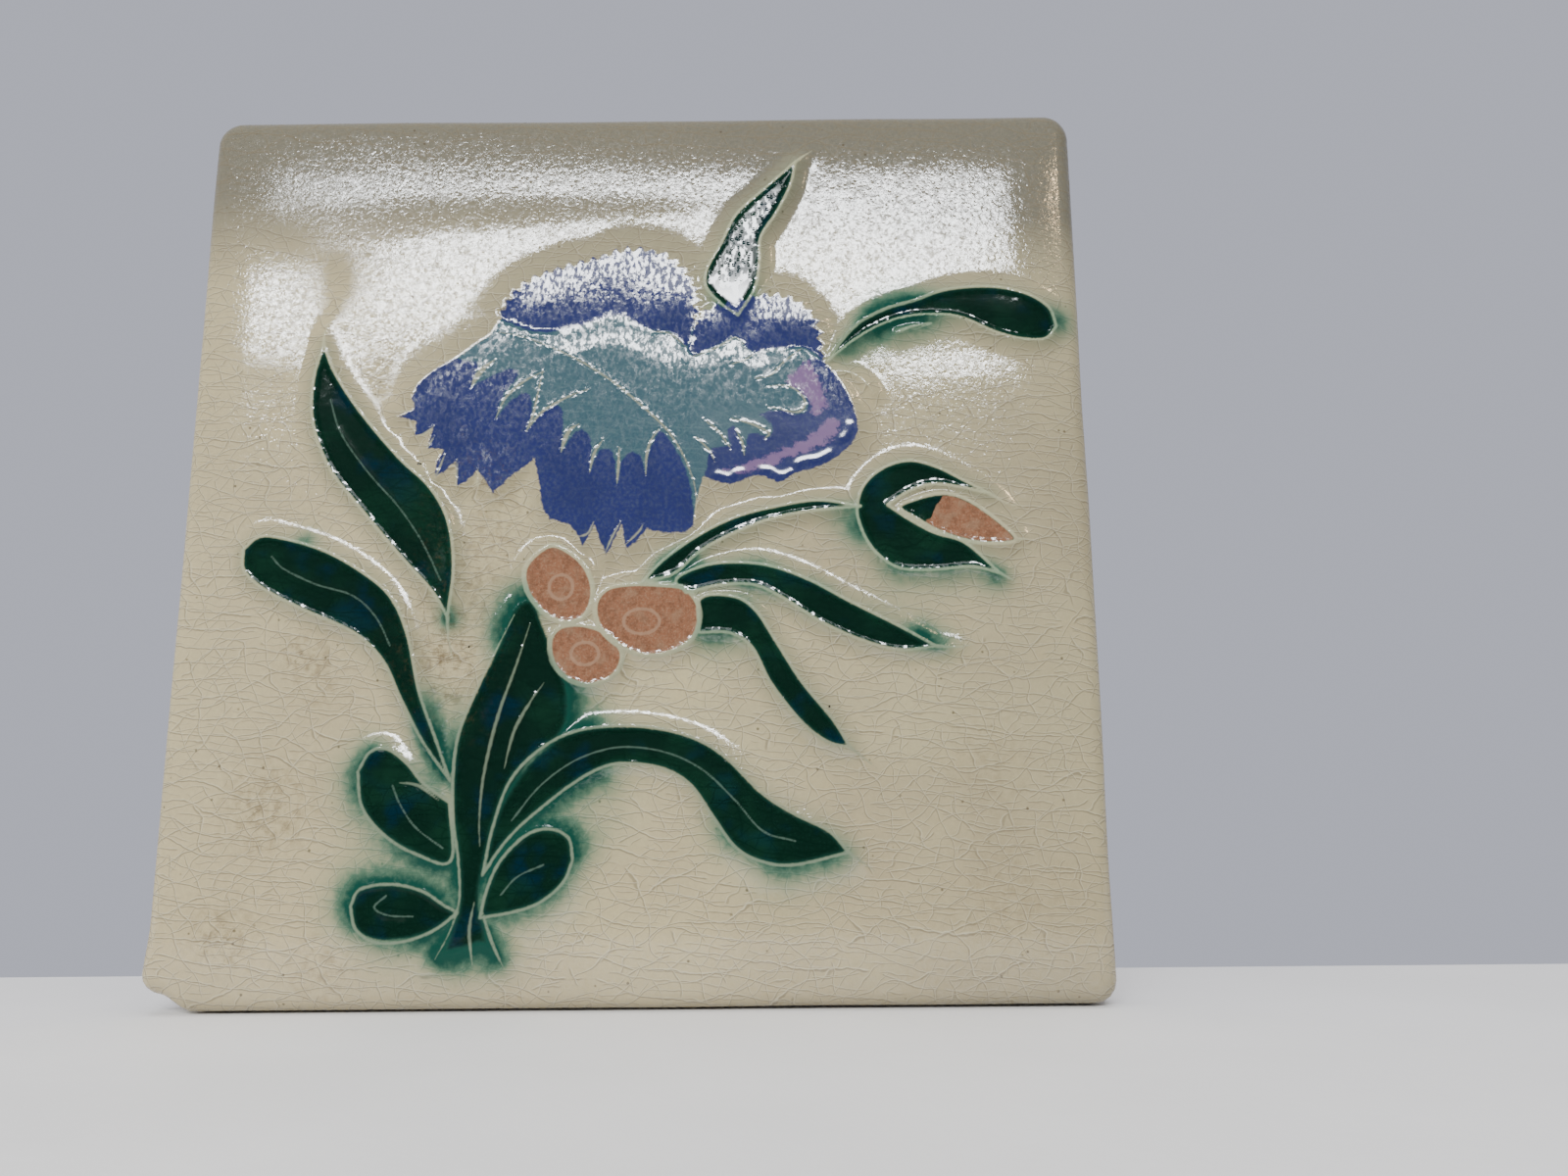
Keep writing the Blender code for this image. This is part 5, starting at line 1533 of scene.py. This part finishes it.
    def past_border(self, points):
        """How far each point lies right of the border inside the bud, which wanders a little."""
        across, upward = (points - np.array(BUD_PINK_BORDER)).T
        return across - BUD_PINK_LEAN * upward + 0.9 * noise_at(points, 1.6, 9.0)

    def bleed(self, points, drawing):
        """How strongly the green has run into the ground."""
        greens = [closed_line(outline) for outline in drawing.leaves + [drawing.stalk, drawing.calyx]]
        distance = distance_to(greens, points)
        thin = CREEP * np.exp(-distance / CREEP_REACH)
        spots = [(x, y, reach * BLEED_REACH, strength * BLEED_STRENGTH) for x, y, reach, strength in BLEEDS]
        wide = blobs(points, spots) * np.exp(-distance / BLEED_FALL)
        return np.clip(thin + wide, 0.0, 1.0)


def slide_to_crests(points, lines, reach):
    """Points closer to a raised line than the reach are put on it."""
    result = np.array(points)
    for group, near in patches(points, lines.starts, lines.ends, 1.0):
        distance, _, gap = to_pieces(points[group], lines.starts[near], lines.ends[near])
        nearest = distance.argmin(axis=1)
        rows = np.arange(len(group))
        close = distance[rows, nearest] < reach
        result[group[close]] -= gap[rows, nearest][close]
    return result


# The camera: its place in metres, its turns in degrees, its lens and sensor in millimetres
CAMERA_PLACE = (0.0247, -0.2000, -0.0459)
CAMERA_PITCH = 10.66
CAMERA_ROLL = 0.5
CAMERA_YAW = 0.14
CAMERA_LENS = 27.0
CAMERA_SENSOR = 36.0
CAMERA_NEAR = 0.005

# The main soft light's panes, side by side: middle across and up, width, height in metres
PANE_PLACE = -1.0
PANE_POWER = 150.0
PANE_COLOUR = (0.94, 0.97, 1.0)
PANES = {
    "window": (-0.069, 0.5415, 0.683, 0.177),
    "window_left_low": (-0.525, 0.484, 0.229, 0.082),
    "window_left_top": (-0.462, 0.626, 0.103, 0.026),
}
# The other lights: place, size, power, colour, what they aim at, and whether the glaze mirrors them
LIGHTS = {
    "left_fill": ((-1.2, -0.5, -0.1), (1.6, 1.6), 22.4, (1.0, 0.98, 0.95), (0.0, 0.0, -0.05), False),
    "right_fill": ((1.2, -0.5, 0.2), (1.6, 1.6), 8.0, (1.0, 0.98, 0.95), (0.0, 0.0, -0.05), False),
    "ceiling": ((0.0, -0.3, 1.3), (1.5, 1.0), 12.0, (1.0, 0.99, 0.97), (0.0, -0.1, -0.08), False),
    "lamp": ((0.30, -0.45, 0.33), (0.03, 0.03), 0.12, (1.0, 0.72, 0.40), (0.05, 0.0, 0.03), True),
}

# The floor: width, depth, where its middle lies from front to back, and the gap under the tile
FLOOR_WIDTH = 1.3
FLOOR_DEPTH = 0.1375
FLOOR_MIDDLE = -0.03125
FLOOR_GAP = 0.0004

# The sky's colour, and its strength in front of the tile and behind it: a direction's Y, and the strength
SKY_COLOUR = (0.50, 0.515, 0.60, 1.0)
SKY_FRONT = (-0.3, 0.05)
SKY_BACK = (0.5, 1.0)


class TILE_OT_build_stage(bpy.types.Operator):
    """Add the floor, the soft lights, the sky and the camera"""

    bl_idname = "tile.build_stage"
    bl_label = "Build stage"

    def execute(self, context):
        self.add_floor()
        self.add_sky(context)
        for name, (middle_x, middle_z, width, height) in PANES.items():
            self.add_light(name, (middle_x, PANE_PLACE, middle_z), (width, height),
                           PANE_POWER * width * height, PANE_COLOUR, (middle_x, 0.0, middle_z), True)
        for name, values in LIGHTS.items():
            self.add_light(name, *values)
        self.add_camera(context)
        return {"FINISHED"}

    def add_floor(self):
        deselect_all()
        bpy.ops.mesh.primitive_plane_add(size=1.0, location=(0.0, FLOOR_MIDDLE, -SIDE / 2 - FLOOR_GAP))
        floor = bpy.context.object
        floor.name = "floor"
        floor.scale = (FLOOR_WIDTH, FLOOR_DEPTH, 1.0)
        bpy.ops.object.transform_apply(location=True, rotation=True, scale=True)
        floor.data.materials.append(floor_finish())

    def add_sky(self, context):
        """Pale behind the tile, dim in front of it."""
        world = bpy.data.worlds.new("sky")
        world.use_nodes = True
        context.scene.world = world
        tree = world.node_tree
        direction = tree.nodes.new("ShaderNodeTexCoord")
        split = tree.nodes.new("ShaderNodeSeparateXYZ")
        ramp = tree.nodes.new("ShaderNodeMapRange")
        ramp.inputs["From Min"].default_value, ramp.inputs["To Min"].default_value = SKY_FRONT
        ramp.inputs["From Max"].default_value, ramp.inputs["To Max"].default_value = SKY_BACK
        tree.links.new(direction.outputs["Generated"], split.inputs[0])
        tree.links.new(split.outputs["Y"], ramp.inputs["Value"])
        background = tree.nodes["Background"]
        background.inputs["Color"].default_value = SKY_COLOUR
        tree.links.new(ramp.outputs[0], background.inputs["Strength"])

    def add_light(self, name, place, size, power, colour, target, mirrored):
        light = bpy.data.lights.new(name, "AREA")
        light.shape = "RECTANGLE"
        light.size, light.size_y = size
        light.energy = power
        light.color = colour
        holder = bpy.data.objects.new(name, light)
        bpy.context.scene.collection.objects.link(holder)
        holder.location = place
        aim = Vector(target) - Vector(place)
        holder.rotation_euler = aim.to_track_quat("-Z", "Y").to_euler()
        holder.visible_glossy = mirrored

    def add_camera(self, context):
        camera = bpy.data.cameras.new("camera")
        camera.lens = CAMERA_LENS
        camera.sensor_width = CAMERA_SENSOR
        camera.dof.use_dof = False
        camera.clip_start = CAMERA_NEAR
        holder = bpy.data.objects.new("camera", camera)
        context.scene.collection.objects.link(holder)
        holder.location = CAMERA_PLACE
        turns = (90.0 + CAMERA_PITCH, CAMERA_ROLL, CAMERA_YAW)
        holder.rotation_euler = [math.radians(turn) for turn in turns]
        context.scene.camera = holder


class TILE_PT_panel(bpy.types.Panel):
    """Sizes and glazes of the tile"""

    bl_label = "Floral relief tile"
    bl_space_type = "VIEW_3D"
    bl_region_type = "UI"
    bl_category = "Tile"

    def draw(self, context):
        for group in (context.scene.tile_sizes, context.scene.glaze_colours):
            box = self.layout.box()
            for name in group.bl_rna.properties.keys():
                if name not in ("rna_type", "name"):
                    box.prop(group, name)
        self.layout.operator(TILE_OT_build_tile.bl_idname)
        self.layout.operator(TILE_OT_build_stage.bl_idname)


CLASSES = (TileSizes, GlazeColours, TILE_OT_build_tile, TILE_OT_build_stage, TILE_PT_panel)


def register():
    for item in CLASSES:
        bpy.utils.register_class(item)
    bpy.types.Scene.tile_sizes = bpy.props.PointerProperty(type=TileSizes)
    bpy.types.Scene.glaze_colours = bpy.props.PointerProperty(type=GlazeColours)


def unregister():
    del bpy.types.Scene.glaze_colours
    del bpy.types.Scene.tile_sizes
    for item in reversed(CLASSES):
        bpy.utils.unregister_class(item)


def main():
    register()
    bpy.ops.tile.build_stage()
    bpy.ops.tile.build_tile()


if __name__ == "__main__":
    main()
